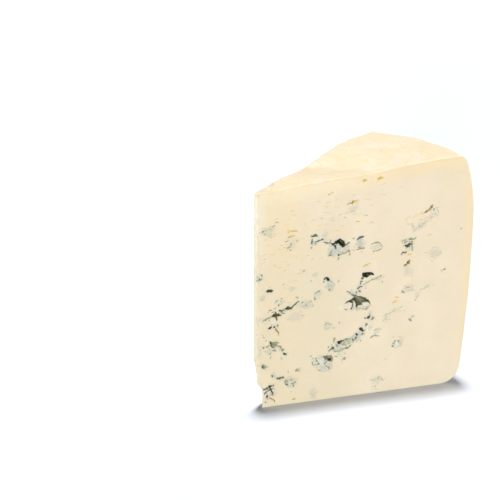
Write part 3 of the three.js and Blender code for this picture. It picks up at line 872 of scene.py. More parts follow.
def cavity_outline(points):
    """The ragged outline of a wide opening, and how far each point is from its middle."""
    path = smooth_path(points, SPINE_STEP, closed=True)
    outward = path - path.mean(axis=0)
    reach = np.linalg.norm(outward, axis=1)
    push = [sum(most * rough(a, u, *kind) for most, *kind in CAVITY_NOISES) for a, u in path]
    return path + outward / reach[:, None] * np.array(push)[:, None], reach


# %% From an outline to a cutter
DEEP_RINGS = (0.15, 0.42, 0.75, 1.0)
SHALLOW_RINGS = (0.3, 0.75, 1.0)
SHALLOW = 1.0
OUTSIDE = -0.9
EDGE_DEPTH = 0.35
WALL_BULGE = 0.12
LEAST_DEPTH = 0.05
LOOSE_BY_WIDTH, MOST_LOOSE, LOOSE_INWARDS = 0.5, 0.5, 0.6
# The noises of a wall, sideways and inwards: (salt, grains in a millimetre).
WALL_SIDEWAYS, WALL_INWARDS = (31, 1.1), (37, 1.3)


def ring_share(t):
    """How wide a ring is, at a part t of the way in: a dome that bulges a little."""
    return (1 + WALL_BULGE * math.sin(math.pi * t)) * math.sqrt(1.02 - t * t)


def loft(outline, widths, place, depth, lean, ladder, depths=DEEP_RINGS):
    """Rings of an outline that shrink on the way in, joined and capped. A ladder shrinks to the
    spine between its two sides, and any other outline to its middle. `place` turns along, up
    and inward into a point of the frame."""
    count = len(outline)
    if ladder:
        middles = 0.5 * (outline + outline[::-1])
        deepest = EDGE_DEPTH + (1 - EDGE_DEPTH) * np.clip(widths / widths.max(), 0, 1)
    else:
        middles = np.repeat(outline.mean(axis=0)[None], count, axis=0)
        deepest = np.ones(count)
    rings = [(OUTSIDE, 1.0), (0.0, 1.0), *((t, ring_share(t)) for t in depths)]
    vertices, faces = [], []
    for inward, share in rings:
        for corner, middle, wide, reach in zip(outline, middles, widths, deepest):
            along, up = middle + (corner - middle) * share
            deep = inward * depth * reach if inward > 0 else inward
            if inward > 0:
                loose = min(MOST_LOOSE, LOOSE_BY_WIDTH * wide)
                along += loose * rough(along, up + deep, *WALL_SIDEWAYS)
                deep += LOOSE_INWARDS * loose * rough(along, up, *WALL_INWARDS)
                deep = max(LEAST_DEPTH, deep)
            vertices.append(place(along, up + max(0.0, deep) * lean, deep) * MM)
    for ring in range(len(rings) - 1):
        for i in range(count):
            j = (i + 1) % count
            faces.append((ring * count + i, ring * count + j,
                          (ring + 1) * count + j, (ring + 1) * count + i))
    for base in (0, (len(rings) - 1) * count):
        if ladder:
            faces += [(base + i, base + i + 1, base + count - 2 - i, base + count - 1 - i)
                      for i in range(count // 2 - 1)]
        else:
            faces.append(tuple(range(base, base + count)))
    return vertices, faces


def finish_cutter(name, vertices, faces, stain, lip=0.0):
    """A closed mesh with its faces turned outwards, and its stain, the depth of its painted lit
    floor and its lining on it.
    """
    mesh = bpy.data.meshes.new(name)
    mesh.from_pydata(vertices, [], faces)
    build = bmesh.new()
    build.from_mesh(mesh)
    bmesh.ops.triangulate(build, faces=build.faces)
    bmesh.ops.recalc_face_normals(build, faces=build.faces)
    if build.calc_volume(signed=True) < 0:
        bmesh.ops.reverse_faces(build, faces=build.faces)
    build.to_mesh(mesh)
    build.free()
    for layer_name, value in (("stain", stain), ("lip", lip), ("lining", 1.0)):
        layer = mesh.attributes.new(layer_name, "FLOAT", "FACE")
        layer.data.foreach_set("value", np.full(len(mesh.polygons), value, np.float32))
    return mesh


def cutter(name, face, opening, wide=False):
    """The cutter of an opening: a wide one has a ring of points, any other a spine."""
    if wide:
        outline, widths = cavity_outline(opening.points)
    else:
        outline, widths = crack_outline(opening.points, face)
    depths = SHALLOW_RINGS if opening.depth < SHALLOW else DEEP_RINGS
    rings = loft(outline, widths, lambda *place: on_face(face, *place), opening.depth,
                 opening.lean, not wide, depths)
    return finish_cutter(name, *rings, opening.stain, opening.lip)


# %% Gather the cutters
def gather(name, meshes):
    """A collection with one object for each mesh, for a tree to read."""
    collection = bpy.data.collections.new(name)
    for mesh in meshes:
        collection.objects.link(bpy.data.objects.new(mesh.name, mesh))
    return collection


cutter_meshes = [cutter(f"crack_{i:03d}", 0, o) for i, o in enumerate(OPENINGS)]
cutter_meshes += [cutter(f"cavity_{i:02d}", 0, c, wide=True) for i, c in enumerate(CAVITIES)]
cutter_meshes += [cutter(f"rear_{i:03d}", 1, o) for i, o in enumerate(second_openings)]
cutters = gather("cutters", cutter_meshes)
print(f"cutters: {sum(len(m.polygons) for m in cutter_meshes)} triangles")

# %% [markdown]
# ## Stains on the cut faces
# The knife smears mould round the openings, and closed gaps just under the face show through
# as soft patches. They are colour and fine roughness, not shape, so each is an ellipse, pulled
# about by noise, that raises an attribute of the face's points. The material breaks their edges
# up later, and the small pits and ripples come thickest where they are.

# %% Patches of the first cut face
PATCHES = {
    # kind: [(along, up, reach along, reach up, strength), ...]
    "green": [
        (8.2, 77.6, 3.2, 2.4, 0.75), (36.4, 66.9, 2.1, 2.9, 1.0), (70.9, 66.0, 2.2, 2.6, 0.9),
        (28.6, 70.9, 1.3, 1.5, 1.0), (38.6, 69.0, 1.6, 1.0, 0.9), (34.0, 70.6, 1.6, 0.9, 0.6),
        (4.6, 58.2, 1.8, 2.2, 0.6), (6.0, 49.5, 1.6, 1.4, 0.8), (35.5, 51.4, 2.0, 2.4, 0.9),
        (37.4, 51.6, 1.8, 2.4, 0.5), (53.9, 37.2, 0.9, 1.8, 0.7), (48.0, 26.4, 1.7, 2.0, 1.0),
        (36.8, 24.2, 1.4, 1.4, 0.5), (39.6, 22.0, 2.2, 1.2, 1.0), (42.2, 19.8, 2.4, 2.0, 0.45),
        (31.8, 17.6, 3.0, 3.2, 0.9), (34.0, 14.8, 3.4, 2.2, 0.9), (66.6, 21.4, 1.6, 1.8, 0.9),
        (72.4, 32.3, 1.8, 1.8, 0.5), (18.4, 10.2, 2.8, 2.4, 0.9), (9.2, 7.0, 2.2, 2.4, 0.9),
        (8.2, 2.6, 2.4, 1.7, 0.4), (10.9, 27.4, 2.6, 2.6, 0.7), (9.2, 25.6, 2.0, 1.8, 0.8),
        (5.2, 33.0, 2.4, 3.4, 0.35), (4.6, 24.0, 2.2, 7.0, 0.45), (56.4, 27.8, 1.2, 1.3, 0.75),
        (10.8, 14.0, 1.5, 1.4, 0.7), (45.6, 46.6, 2.0, 1.6, 0.8), (44.2, 24.6, 2.6, 1.5, 0.8),
        (6.6, 18.6, 1.6, 1.1, 0.9), (13.2, 46.6, 1.6, 1.6, 0.7), (6.0, 39.6, 2.6, 1.8, 0.55),
        (13.2, 12.4, 2.2, 1.4, 0.5), (48.2, 68.6, 1.6, 1.9, 0.7), (48.6, 40.0, 4.4, 1.2, 0.8),
        (49.8, 28.2, 1.3, 1.3, 1.0), (39.6, 66.4, 2.0, 1.4, 1.0), (22.0, 15.2, 1.0, 1.2, 0.7),
        (39.2, 24.0, 1.2, 1.2, 1.0), (61.6, 2.8, 2.4, 1.6, 0.35), (54.2, 30.6, 1.4, 1.6, 0.6),
        (72.0, 52.4, 1.0, 2.4, 0.4),
    ],
    "lilac": [
        (18.6, 72.0, 2.6, 2.2, 0.6), (42.3, 67.0, 1.8, 1.3, 0.9), (43.0, 82.6, 1.6, 1.0, 0.7),
        (45.4, 84.0, 1.6, 1.0, 0.7), (46.4, 85.2, 1.2, 1.0, 0.8), (48.2, 68.6, 1.9, 2.2, 1.0),
        (73.6, 72.4, 1.9, 1.3, 0.8), (76.6, 74.2, 2.0, 1.3, 0.8), (79.6, 76.6, 1.8, 1.2, 0.7),
        (33.2, 74.5, 0.7, 2.0, 0.8), (70.6, 53.8, 1.9, 2.2, 0.85), (19.2, 51.6, 1.8, 0.9, 1.0),
        (82.5, 60.6, 2.8, 2.6, 0.75), (71.0, 46.4, 2.4, 1.8, 0.8), (75.4, 43.4, 1.0, 2.2, 0.7),
        (79.4, 46.0, 2.4, 1.0, 0.6), (61.2, 34.0, 1.2, 2.0, 0.75), (20.0, 39.4, 3.0, 2.2, 0.7),
        (24.6, 44.2, 3.4, 2.0, 0.9), (17.0, 43.0, 4.0, 1.4, 0.35), (30.0, 48.4, 2.2, 1.4, 0.75),
        (55.8, 66.2, 2.4, 1.8, 0.5), (14.0, 13.2, 2.2, 1.0, 0.3), (28.8, 3.4, 1.4, 2.6, 0.9),
        (34.8, 33.4, 1.9, 1.6, 0.8), (50.0, 50.2, 2.6, 1.6, 0.5), (57.6, 52.4, 2.0, 1.0, 0.75),
        (40.8, 62.9, 1.8, 1.0, 0.4), (23.8, 58.9, 1.0, 0.8, 0.7), (29.0, 56.8, 1.4, 0.8, 0.9),
        (62.0, 16.4, 2.0, 2.6, 0.3), (86.8, 51.8, 1.6, 1.6, 0.5), (57.4, 5.6, 3.0, 2.2, 0.7),
        (65.0, 36.6, 4.2, 1.0, 0.4), (70.4, 61.4, 1.6, 1.0, 0.35), (36.4, 80.4, 3.4, 2.4, 0.3),
        (68.8, 22.8, 1.4, 2.0, 0.6), (58.0, 28.8, 1.2, 0.8, 0.8), (8.6, 27.6, 1.8, 1.0, 0.4),
        (68.8, 44.8, 1.4, 1.0, 0.6), (50.8, 27.8, 1.2, 0.9, 1.0), (12.6, 26.2, 1.2, 0.8, 0.9),
        (14.6, 22.4, 0.9, 0.7, 0.8), (53.4, 51.6, 1.6, 0.7, 0.7),
    ],
    "white": [
        (29.2, 72.4, 1.1, 0.8, 1.0), (52.0, 50.6, 3.2, 1.4, 0.5), (48.0, 39.6, 5.6, 1.4, 0.2),
        (12.4, 38.4, 2.0, 1.2, 0.5), (12.3, 25.8, 1.4, 0.8, 0.7), (12.9, 46.9, 1.0, 0.8, 0.9),
        (43.4, 41.6, 1.0, 0.8, 0.4), (49.9, 28.7, 1.1, 0.9, 0.3),
        (57.4, 27.4, 1.4, 0.9, 0.4), (33.7, 53.4, 0.8, 0.5, 0.7), (43.6, 24.6, 2.0, 1.2, 0.9),
        (40.6, 41.2, 1.4, 2.0, 0.6), (31.0, 17.0, 2.2, 2.4, 0.6), (70.8, 67.0, 1.4, 1.0, 0.7),
        (9.6, 6.9, 1.4, 1.2, 0.9), (82.0, 79.0, 1.8, 1.6, 0.8), (50.1, 70.7, 0.7, 0.6, 0.5),
        (47.5, 71.2, 0.5, 0.4, 0.4), (8.8, 53.2, 1.4, 0.5, 0.8), (8.6, 51.0, 1.2, 0.5, 0.7),
        (11.2, 38.0, 1.0, 0.7, 0.9), (10.9, 34.8, 0.8, 0.5, 0.9), (14.4, 13.4, 1.6, 0.5, 0.2),
        (66.4, 21.2, 1.0, 1.0, 0.7), (50.2, 94.6, 1.2, 0.5, 0.6), (30.2, 17.8, 0.9, 0.8, 0.5),
        (41.4, 67.6, 0.8, 0.8, 0.7),
    ],
}
print("patches:", {kind: len(patches) for kind, patches in PATCHES.items()})


# %% How strongly each point is stained
PATCH_PULL = 1.3
PULL_SCALE = 0.6
PATCH_EDGE = 1.6
HALO_FADE = 0.7
HALO_STEP = 0.8
HALO_DEPTH = 4


def face_places(points, face):
    """Each point's place on a cut face: along, up and inward, in millimetres."""
    turn = WEDGE_ANGLE * face
    side = 1 - 2 * face
    x = points[:, 0] / MM - AXIS_X
    y = points[:, 1] / MM - AXIS_Y
    along = x * math.cos(turn) + y * math.sin(turn)
    inward = side * (y * math.cos(turn) - x * math.sin(turn))
    return along, points[:, 2] / MM, inward


def pulled_about(along, up):
    """The places moved about by smooth noise, so that no patch is a true ellipse."""
    shifts = [[rough(a, u, salt, PULL_SCALE) for a, u in zip(along, up)] for salt in (51, 53)]
    return along + PATCH_PULL * np.array(shifts[0]), up + PATCH_PULL * np.array(shifts[1])


def patch_weights(points, face, patches, reach_in=3.0):
    """How strongly a set of patches stains each point near a cut face."""
    along, up, inward = face_places(points, face)
    along, up = pulled_about(along, up)
    total = np.zeros(len(points))
    for a, u, reach_along, reach_up, strength in patches:
        away = np.sqrt(((along - a) / reach_along) ** 2 + ((up - u) / reach_up) ** 2)
        total = np.maximum(total, strength * np.clip(PATCH_EDGE - away, 0, 1))
    return total * np.clip(1 - (inward - 0.5 * reach_in) / reach_in, 0, 1)


def halo_weights(points, face, openings):
    """How near each point lies to a stained opening, by the opening's stain."""
    along, up, inward = face_places(points, face)
    total = np.zeros(len(points))
    near = inward < HALO_DEPTH
    for opening in openings:
        if opening.stain <= 0:
            continue
        for a, u, half in smooth_path(opening.points, HALO_STEP):
            away = np.clip(np.hypot(along[near] - a, up[near] - u) - half, 0, None)
            total[near] = np.maximum(total[near], opening.stain * np.exp(-away / HALO_FADE))
    return total


# %% Write the stains on a mesh
REAR_SCATTER, REAR_DROP = 1.5, 0.5
REAR_REACHES, REAR_STRENGTHS = ((1.0, 2.8), (0.9, 2.2)), (0.4, 1.0)


def rear_patches(openings, seed):
    """Soft patches for the second cut face, set about its openings."""
    random = np.random.default_rng(seed)
    made = {"green": [], "lilac": [], "white": []}
    for opening in openings:
        middle = opening.points[len(opening.points) // 2]
        for kind in ("green", ("lilac", "white")[random.integers(2)]):
            along = middle[0] + random.normal(0, REAR_SCATTER)
            up = middle[1] + random.normal(-REAR_DROP, REAR_SCATTER)
            reach = [random.uniform(*span) for span in REAR_REACHES]
            made[kind].append((along, up, *reach, random.uniform(*REAR_STRENGTHS)))
    return made


def write_points(mesh, name, values):
    layer = mesh.attributes.get(name) or mesh.attributes.new(name, "FLOAT", "POINT")
    layer.data.foreach_set("value", np.asarray(values, np.float32))


def points_of(mesh):
    flat = np.empty(3 * len(mesh.vertices), np.float32)
    mesh.vertices.foreach_get("co", flat)
    return flat.reshape(-1, 3).astype(float)


def stain_the_faces(mesh):
    """Writes the three kinds of stain and the halo of the openings on a mesh."""
    points = points_of(mesh)
    rear = rear_patches(second_openings, seed=3)
    for kind, patches in PATCHES.items():
        weights = patch_weights(points, 0, patches) + patch_weights(points, 1, rear[kind])
        write_points(mesh, kind, np.clip(weights, 0, 1))
    halo = halo_weights(points, 0, OPENINGS) + halo_weights(points, 1, second_openings)
    write_points(mesh, "halo", np.clip(halo, 0, 1))


stain_the_faces(bare_wedge.data)
print(f"stained: {len(bare_wedge.data.vertices)} points")

# %% [markdown]
# ## Pits, ripples and hair cracks
# Round the veins the paste is full of small things: pits a millimetre long with mould in them,
# ripples in the mauve smears, and hair cracks where the knife dragged, which lie nearly level.
# There are far too many to place by hand, and where exactly each one lies doesn't matter. So a
# few ragged shapes of each kind are made once, and Geometry Nodes strew them over the cut
# faces, thickest where the stains and the rough places are.

# %% Where the small shapes come
ROUGH_PLACES = [
    # (along, up, reach along, reach up, strength) of the places with hair cracks
    (12.0, 72.0, 11.0, 9.0, 0.9), (24.0, 79.0, 8.0, 6.0, 0.7), (34.0, 80.5, 5.0, 8.0, 1.0),
    (46.0, 84.0, 5.0, 6.0, 0.7), (58.0, 91.0, 3.5, 3.0, 0.5), (66.0, 88.0, 7.0, 4.0, 0.22),
    (10.0, 60.0, 8.0, 6.0, 0.35), (23.0, 63.0, 8.0, 6.0, 0.35), (74.0, 76.0, 6.0, 6.0, 0.35),
    (12.0, 46.0, 9.0, 7.0, 0.3), (52.0, 79.0, 3.0, 3.0, 0.5),
]
ON_THE_FACE = 0.35
FLAT_ALONG = (6, 92)
FLAT_UP = (2, 93)
PITS_BY_HALO, RIPPLES_BY_WHITE = 0.6, 0.4


def thicken_the_small_shapes(mesh):
    """Writes where pits, ripples and hair cracks come, on the flat of the cut faces alone."""
    points = points_of(mesh)
    layers = {}
    for kind in ("green", "lilac", "white", "halo"):
        layers[kind] = np.empty(len(points), np.float32)
        mesh.attributes[kind].data.foreach_get("value", layers[kind])
    flat = np.zeros(len(points))
    rough_places = np.zeros(len(points))
    for face in (0, 1):
        along, up, inward = face_places(points, face)
        inside = np.abs(inward) < ON_THE_FACE
        for place, (least, most) in ((along, FLAT_ALONG), (up, FLAT_UP)):
            inside &= (place > least) & (place < most)
        flat[inside] = 1.0
        rough_places += patch_weights(points, face, ROUGH_PLACES, reach_in=1.0)
    mouldy = np.clip(layers["green"] + PITS_BY_HALO * layers["halo"], 0, 1) ** 2
    smeared = np.clip(layers["lilac"] + RIPPLES_BY_WHITE * layers["white"], 0, 1)
    dragged = np.clip(rough_places, 0, 1)
    for name, weights in (("mouldy", mouldy), ("smeared", smeared), ("dragged", dragged)):
        write_points(mesh, name, flat * weights)


thicken_the_small_shapes(bare_wedge.data)
print(f"rough places: {len(ROUGH_PLACES)}")

# %% The small shapes
SHAPES_OF_A_KIND = 6
SMALL_STEP = 0.5
SMALL_RINGS = (0.6, 1.0)
SMALL_BEND = 0.12
SMALL_SALT, SALT_STEP = 40, 7
# A small spine: (share of the reach, share of the half width) of each point.
SMALL_SPINE = ((-1.0, 0.4), (0.1, 1.0), (1.0, 0.3))


class SmallKind(NamedTuple):
    """Sizes are the least and most in millimetres. `weight` names the attribute that thickens
    the kind, `most` is how many there are in a square millimetre, and `tilt` is in degrees."""
    name: str
    length: tuple
    half: tuple
    depth: tuple
    stains: tuple
    weight: str
    most: float
    tilt: float


SMALL_KINDS = [
    SmallKind("pits", (0.7, 2.0), (0.12, 0.3), (0.25, 0.6), (0.12, 0.45), "mouldy", 0.30, 45.0),
    SmallKind("ripples", (0.9, 2.4), (0.1, 0.2), (0.15, 0.35), (0.06, 0.3), "smeared", 0.40, 35.0),
    SmallKind("hairs", (1.2, 3.2), (0.07, 0.12), (0.2, 0.4), (-0.12, 0.02), "dragged", 0.13, 14.0),
]


def small_shapes(kind, seed):
    """Ragged little cutters about the origin: along is X, inward is Y and up is Z."""
    random = np.random.default_rng(seed)
    made = []
    for i in range(SHAPES_OF_A_KIND):
        reach = random.uniform(*kind.length) / 2
        wide = random.uniform(*kind.half)
        bend = random.normal(0, SMALL_BEND * reach, len(SMALL_SPINE))
        spine = [(far * reach, b, thin * wide) for (far, thin), b in zip(SMALL_SPINE, bend)]
        outline, widths = crack_outline(spine, SMALL_SALT + SALT_STEP * i + seed, SMALL_STEP)
        rings = loft(outline, widths, lambda along, up, inward: Vector((along, inward, up)),
                     random.uniform(*kind.depth), 0.0, True, depths=SMALL_RINGS)
        least, most = kind.stains
        stain = least + (most - least) * i / (SHAPES_OF_A_KIND - 1)
        made.append(finish_cutter(f"{kind.name}_{i}", *rings, stain))
    return gather(kind.name, made)


small_collections = [small_shapes(kind, seed) for seed, kind in enumerate(SMALL_KINDS, start=1)]
print(f"small shapes: {SHAPES_OF_A_KIND} for each of {len(SMALL_KINDS)} kinds")

# %% [markdown]
# ## Curds inside the openings
# Curds that were never pressed flat bulge into the larger openings. They are taken away from
# the cutters, not added to the cheese, so the knife's plane still ends them.

# %% Curds
class Curd(NamedTuple):
    along: float
    up: float
    inward: float
    reach_along: float
    reach_up: float
    reach_in: float
    stain: float


CURDS = [
    Curd(44.0, 41.6, 0.9, 1.5, 1.0, 1.5, 0.05),
    Curd(46.7, 41.8, 1.0, 0.5, 1.6, 1.4, 0.20),
    Curd(52.0, 41.0, 1.0, 1.9, 1.2, 1.6, 0.08),
]
CURD_BUMPS = 0.25
CURD_BUMP_SCALE = 1.7
# Curds of the second face. Sizes and drop are shares of the opening's half width.
LARGE_HALF = 1.0
CURD_SIZES, CURD_SHAPE, CURD_DROP = (0.45, 0.8), (1.3, 1.0, 1.2), 0.7
CURD_SCATTER, CURD_LEAST_IN, CURD_MOST_IN, CURD_STAINS = 0.5, 0.5, 0.3, (0.05, 0.4)


def curd_mesh(name, face, curd):
    build = bmesh.new()
    bmesh.ops.create_icosphere(build, subdivisions=3, radius=1.0)
    for vertex in build.verts:
        spot = vertex.co * CURD_BUMP_SCALE + Vector((curd.along, curd.up, 0))
        x, y, z = vertex.co * (1 + CURD_BUMPS * noise.noise(spot))
        vertex.co = MM * on_face(face, curd.along + x * curd.reach_along,
                                 curd.up + z * curd.reach_up, curd.inward + y * curd.reach_in)
    vertices = [vertex.co.copy() for vertex in build.verts]
    faces = [[vertex.index for vertex in face_made.verts] for face_made in build.faces]
    build.free()
    return finish_cutter(name, vertices, faces, curd.stain)


def strewn_curds(openings, seed):
    """Curds at random along the floors of the larger openings."""
    random = np.random.default_rng(seed)
    made = []
    for opening in openings:
        widest = max(half for _, _, half in opening.points)
        if widest < LARGE_HALF or opening.stain < 0:
            continue
        for along, up, half in opening.points[1:-1]:
            size = random.uniform(*CURD_SIZES) * half
            made.append(Curd(along + random.normal(0, CURD_SCATTER), up - CURD_DROP * half,
                             random.uniform(CURD_LEAST_IN, CURD_MOST_IN * opening.depth),
                             *(part * size for part in CURD_SHAPE),
                             random.uniform(*CURD_STAINS)))
    return made


curd_meshes = [curd_mesh(f"curd_{i:02d}", 0, c) for i, c in enumerate(CURDS)]
rear_curds = strewn_curds(second_openings, seed=5)
curd_meshes += [curd_mesh(f"rear_curd_{i:02d}", 1, c) for i, c in enumerate(rear_curds)]
curds = gather("curds", curd_meshes)
print(f"curds: {len(curd_meshes)}")

# %% [markdown]
# ## Cutting the openings
# One tree joins the cutters, takes the curds away from them, strews the small shapes and
# subtracts it all from the wedge. The fast manifold solver takes each instance as a solid of
# its own and carries the attributes along, so each wall of an opening still knows its stain.

# %% Strew small shapes over the faces
COLLECTION = "NodeSocketCollection"
PER_SQUARE_MM = 1e6
SMALL_SCALES = (0.6, 1.15)


def scattered(tree, density, seed):
    """Points at random on the faces of the tree's mesh, with a normal and a turn for each."""
    sockets = {"Mesh": tree.geometry(), "Seed": seed, "Density": density * PER_SQUARE_MM}
    spots = tree.add("GeometryNodeDistributePointsOnFaces", {"distribute_method": "RANDOM"},
                     sockets)
    return [Wire(tree, spots.outputs[name]) for name in ("Points", "Normal", "Rotation")]


def strewn(tree, kind, collection, seed):
    """One kind of small shapes on the upright cut faces, level but for a random tilt."""
    shapes = tree.wire("GeometryNodeCollectionInfo", None, {
        "Collection": tree.input(kind.name, collection, COLLECTION),
        "Separate Children": True, "Reset Children": True,
    })
    density = tree.input(f"{kind.name} in a square mm", kind.most)
    spread = tree.input(f"{kind.name} tilt", math.radians(kind.tilt))
    points, normal, _ = scattered(tree, tree.named(kind.weight) * density, seed)
    inward = tree.wire("ShaderNodeVectorMath", {"operation": "SCALE"},
                       {0: normal, "Scale": -1.0})
    facing = tree.wire("FunctionNodeAlignRotationToVector", {"axis": "Y", "pivot_axis": "Z"},
                       {"Vector": inward})
    lean = tree.wire("FunctionNodeAxisAngleToRotation", None, {
        "Axis": (0.0, 1.0, 0.0), "Angle": tree.random(-1.0, 1.0, seed + 1) * spread,
    })
    turned = tree.wire("FunctionNodeRotateRotation", {"rotation_space": "LOCAL"},
                       {"Rotation": facing, "Rotate By": lean})
    size = tree.random(*SMALL_SCALES, seed + 2)
    return tree.wire("GeometryNodeInstanceOnPoints", None, {
        "Points": points, "Instance": shapes, "Pick Instance": True,
        "Rotation": turned, "Scale": tree.join(size, size, size),
    })


# %% Cut
CREASE_ANGLE = 0.7


def boolean(tree, operation, first, second):
    sockets = {"Mesh 2": second}
    if first is not None:
        sockets["Mesh 1"] = first
    settings = {"operation": operation, "solver": "MANIFOLD"}
    return tree.wire("GeometryNodeMeshBoolean", settings, sockets)


def cut_openings():
    tree = GeometryTree("cut_openings")
    all_cutters, all_curds = [
        tree.wire("GeometryNodeCollectionInfo", None,
                  {"Collection": tree.input(name, collection, COLLECTION),
                   "Separate Children": True})
        for name, collection in (("Cutters", cutters), ("Curds", curds))
    ]
    gaps = boolean(tree, "UNION", None, all_cutters)
    gaps = boolean(tree, "DIFFERENCE", gaps, all_curds)
    small = [strewn(tree, kind, collection, 10 * i + 1)
             for i, (kind, collection) in enumerate(zip(SMALL_KINDS, small_collections))]
    cut = boolean(tree, "DIFFERENCE", tree.geometry(), [gaps, *small])
    cut = tree.wire("GeometryNodeSetShadeSmooth", {"domain": "FACE"},
                    {"Geometry": cut, "Shade Smooth": True})
    angle = tree.wire("GeometryNodeInputMeshEdgeAngle")
    crease = tree.math("GREATER_THAN", angle, CREASE_ANGLE)
    cut = tree.wire("GeometryNodeSetShadeSmooth", {"domain": "EDGE"},
                    {"Geometry": cut, "Selection": crease, "Shade Smooth": False})
    return tree.run("cheese", cut, paste, bare_wedge.data)


cheese = cut_openings()
bpy.data.objects.remove(bare_wedge)
print(f"cheese: {len(cheese.data.polygons)} faces")
stain_the_faces(cheese.data)

# %% [markdown]
# ## The paste
# Ripe blue cheese is ivory, a little warmer under the pressed top and duller by the toe. The thin
# tip is painted paler, a painted highlight for light through it and on its round, and the pressed
# top's own colour a little darker, painted shade against the stronger light on it. Light goes into
# the paste for a millimetre or so, which softens every edge, so the shader scatters it below the
# surface. One material dresses the whole wedge: it reads where a point lies, and the attributes say
# what the mould did there. Its colours are laid on like coats, each with a mask that says where.


# %% Colours
def mixed(red, green, blue):
    """A linear colour from a mix given in 0 to 255 as seen."""
    def linear(part):
        part /= 255
        return part / 12.92 if part <= 0.04045 else ((part + 0.055) / 1.055) ** 2.4
    return (linear(red), linear(green), linear(blue), 1.0)


PASTE = mixed(241, 227, 199)
PASTE_LIGHT = mixed(245, 231, 205)
PASTE_WARM = mixed(248, 228, 189)
# Painted highlight: the thin tip is painted paler, standing in for light through it and on its
# round.
PASTE_TIP_HIGHLIGHT = mixed(251, 242, 222)
# Painted shade for the thin band at the top edge, against the extra light that its round catches.
PASTE_EDGE_SHADE = mixed(224, 206, 168)
PASTE_DULL = mixed(237, 224, 194)
PASTE_CREST = mixed(254, 240, 210)
# The pressed top's own colour, painted a little darker as shade against the stronger light on the
# top.
PASTE_TOP_AND_SHADE = mixed(239, 222, 190)
TOP_VEIN = mixed(240, 218, 174)
TOP_SMEAR = mixed(241, 226, 202)
# Painted light: the warm glow of light bounced inside clean slits, and painted shade deeper in
# them.
SLIT_GLOW_GOLD = mixed(234, 212, 132)
SLIT_SHADE_BROWN = mixed(126, 113, 62)
MOULD_WHITE = mixed(240, 232, 213)
MOULD_PALE = mixed(210, 208, 184)
MOULD_LILAC = mixed(220, 211, 190)
MOULD_COOL = mixed(205, 208, 193)
MOULD_MID = mixed(153, 151, 123)
MOULD_DARK = mixed(101, 102, 79)
# Dark mould with painted shade: the walls' ramp reaches it only deep in an opening.
MOULD_AND_SHADE_BLACK = mixed(44, 44, 33)
MOULD_OLIVE = mixed(118, 104, 58)


# %% A material's tree
class MaterialTree(Tree):
    """The tree of a material, emptied first."""

    def __init__(self, material):
        material.use_nodes = True
        material.node_tree.nodes.clear()
        super().__init__(material.node_tree)
        self.name = material.name

    def place_in_mm(self):
        """Object coordinates in millimetres, as a vector."""
        place = self.wire("ShaderNodeTexCoord", None, None, "Object")
        settings = {"operation": "SCALE"}
        return self.wire("ShaderNodeVectorMath", settings, {0: place, "Scale": 1 / MM})

    def stretched(self, place, x, y, z):
        settings = {"operation": "MULTIPLY"}
        return self.wire("ShaderNodeVectorMath", settings, {0: place, 1: (x, y, z)})

    def seams(self, level, width):
        """Thin winding lines, along which a noise crosses its middle."""
        return self.fade(self.math("ABSOLUTE", level - 0.5), 0.0, width)

    def coats(self, colour, *layers):
        """Lays colours over one another. Each layer is (where, how much of it, its colour)."""
        for where, how_much, tone in layers:
            colour = self.mix(where * how_much, colour, tone)
        return colour

    def finish(self, **sockets):
        """Ends the tree in one Principled shader. In a socket's name, _ stands for a space."""
        named = {name.replace("_", " "): value for name, value in sockets.items()}
        surface = self.wire("ShaderNodeBsdfPrincipled", None, named)
        self.add("ShaderNodeOutputMaterial", None, {"Surface": surface})
        print(f"{self.name}: {len(self.node_tree.nodes)} nodes")


# %% Where a point of the paste lies, and what it carries
# name: (grains in a millimetre, detail, roughness)
PASTE_NOISES = {
    "broad": (0.06, 3.0), "pressed": (0.11, 3.0), "middle": (0.45, 4.0),
    "fine": (1.6, 4.0, 0.6), "grain": (4.0, 2.0),
}
CARRIED = ("green", "lilac", "white", "halo", "stain", "lip", "lining")


def read_paste(tree):
    """The places, noises and attributes that the paste's masks are made of. Places are in
    millimetres: `run` is off the axis, `below` is under the top, and `inward` is behind the
    nearer cut face."""
    place = tree.place_in_mm()
    x, y, up = tree.split(place)
    x = x - AXIS_X
    y = y - AXIS_Y
    rear = x * math.sin(WEDGE_ANGLE) - y * math.cos(WEDGE_ANGLE)
    at = SimpleNamespace(
        place=place, up=up, run=tree.math("SQRT", x * x + y * y),
        below=top_height(tree, x, y, TOP_SIZES) - up, inward=tree.math("MINIMUM", y, rear),
    )
    for name, settings in PASTE_NOISES.items():
        setattr(at, name, tree.noise(place, *settings))
    for name in CARRIED:
        carried = tree.wire("ShaderNodeAttribute", {"attribute_name": name}, None, "Fac")
        setattr(at, name, carried)
    at.stained = tree.clamp(at.green + at.lilac * 0.5 + at.halo * 0.5)
    return at


# %% The plain paste
def plain_paste(tree, at):
    before_middle = tree.ease(at.run, 4.0, 9.0) * tree.fade(at.run, 16.0, 30.0)
    # Painted highlight: the tip is painted paler, standing in for light through its thin paste and
    # on its round.
    tip_highlight = tree.fade(at.run, 2.0, 9.0)
    under_top = tree.fade(at.below, 2.5, 8.0) * (0.4 + 0.35 * tree.ease(at.run, 15.0, 70.0))
    crest = tree.fade(at.below, 3.0, 8.0) * tree.fade(at.run, 30.0, 70.0)
    near_rim = tree.ease(at.run, BELLY_RADIUS - 7.0, BELLY_RADIUS - 1.5)
    by_toe = tree.fade(at.run, 34.0, 48.0) * tree.fade(at.up, 55.0, 88.0)
    return tree.coats(
        PASTE,
        (tree.ease(at.broad, 0.35, 0.65), 1.0, PASTE_LIGHT),
        (before_middle, 0.6, PASTE_WARM),
        (tip_highlight, 0.7, PASTE_TIP_HIGHLIGHT),
        (under_top, 1.0, PASTE_WARM),
        (crest, 0.5, PASTE_CREST),
        (near_rim, 0.65, PASTE_WARM),
        (by_toe, 0.8, PASTE_DULL),
    )


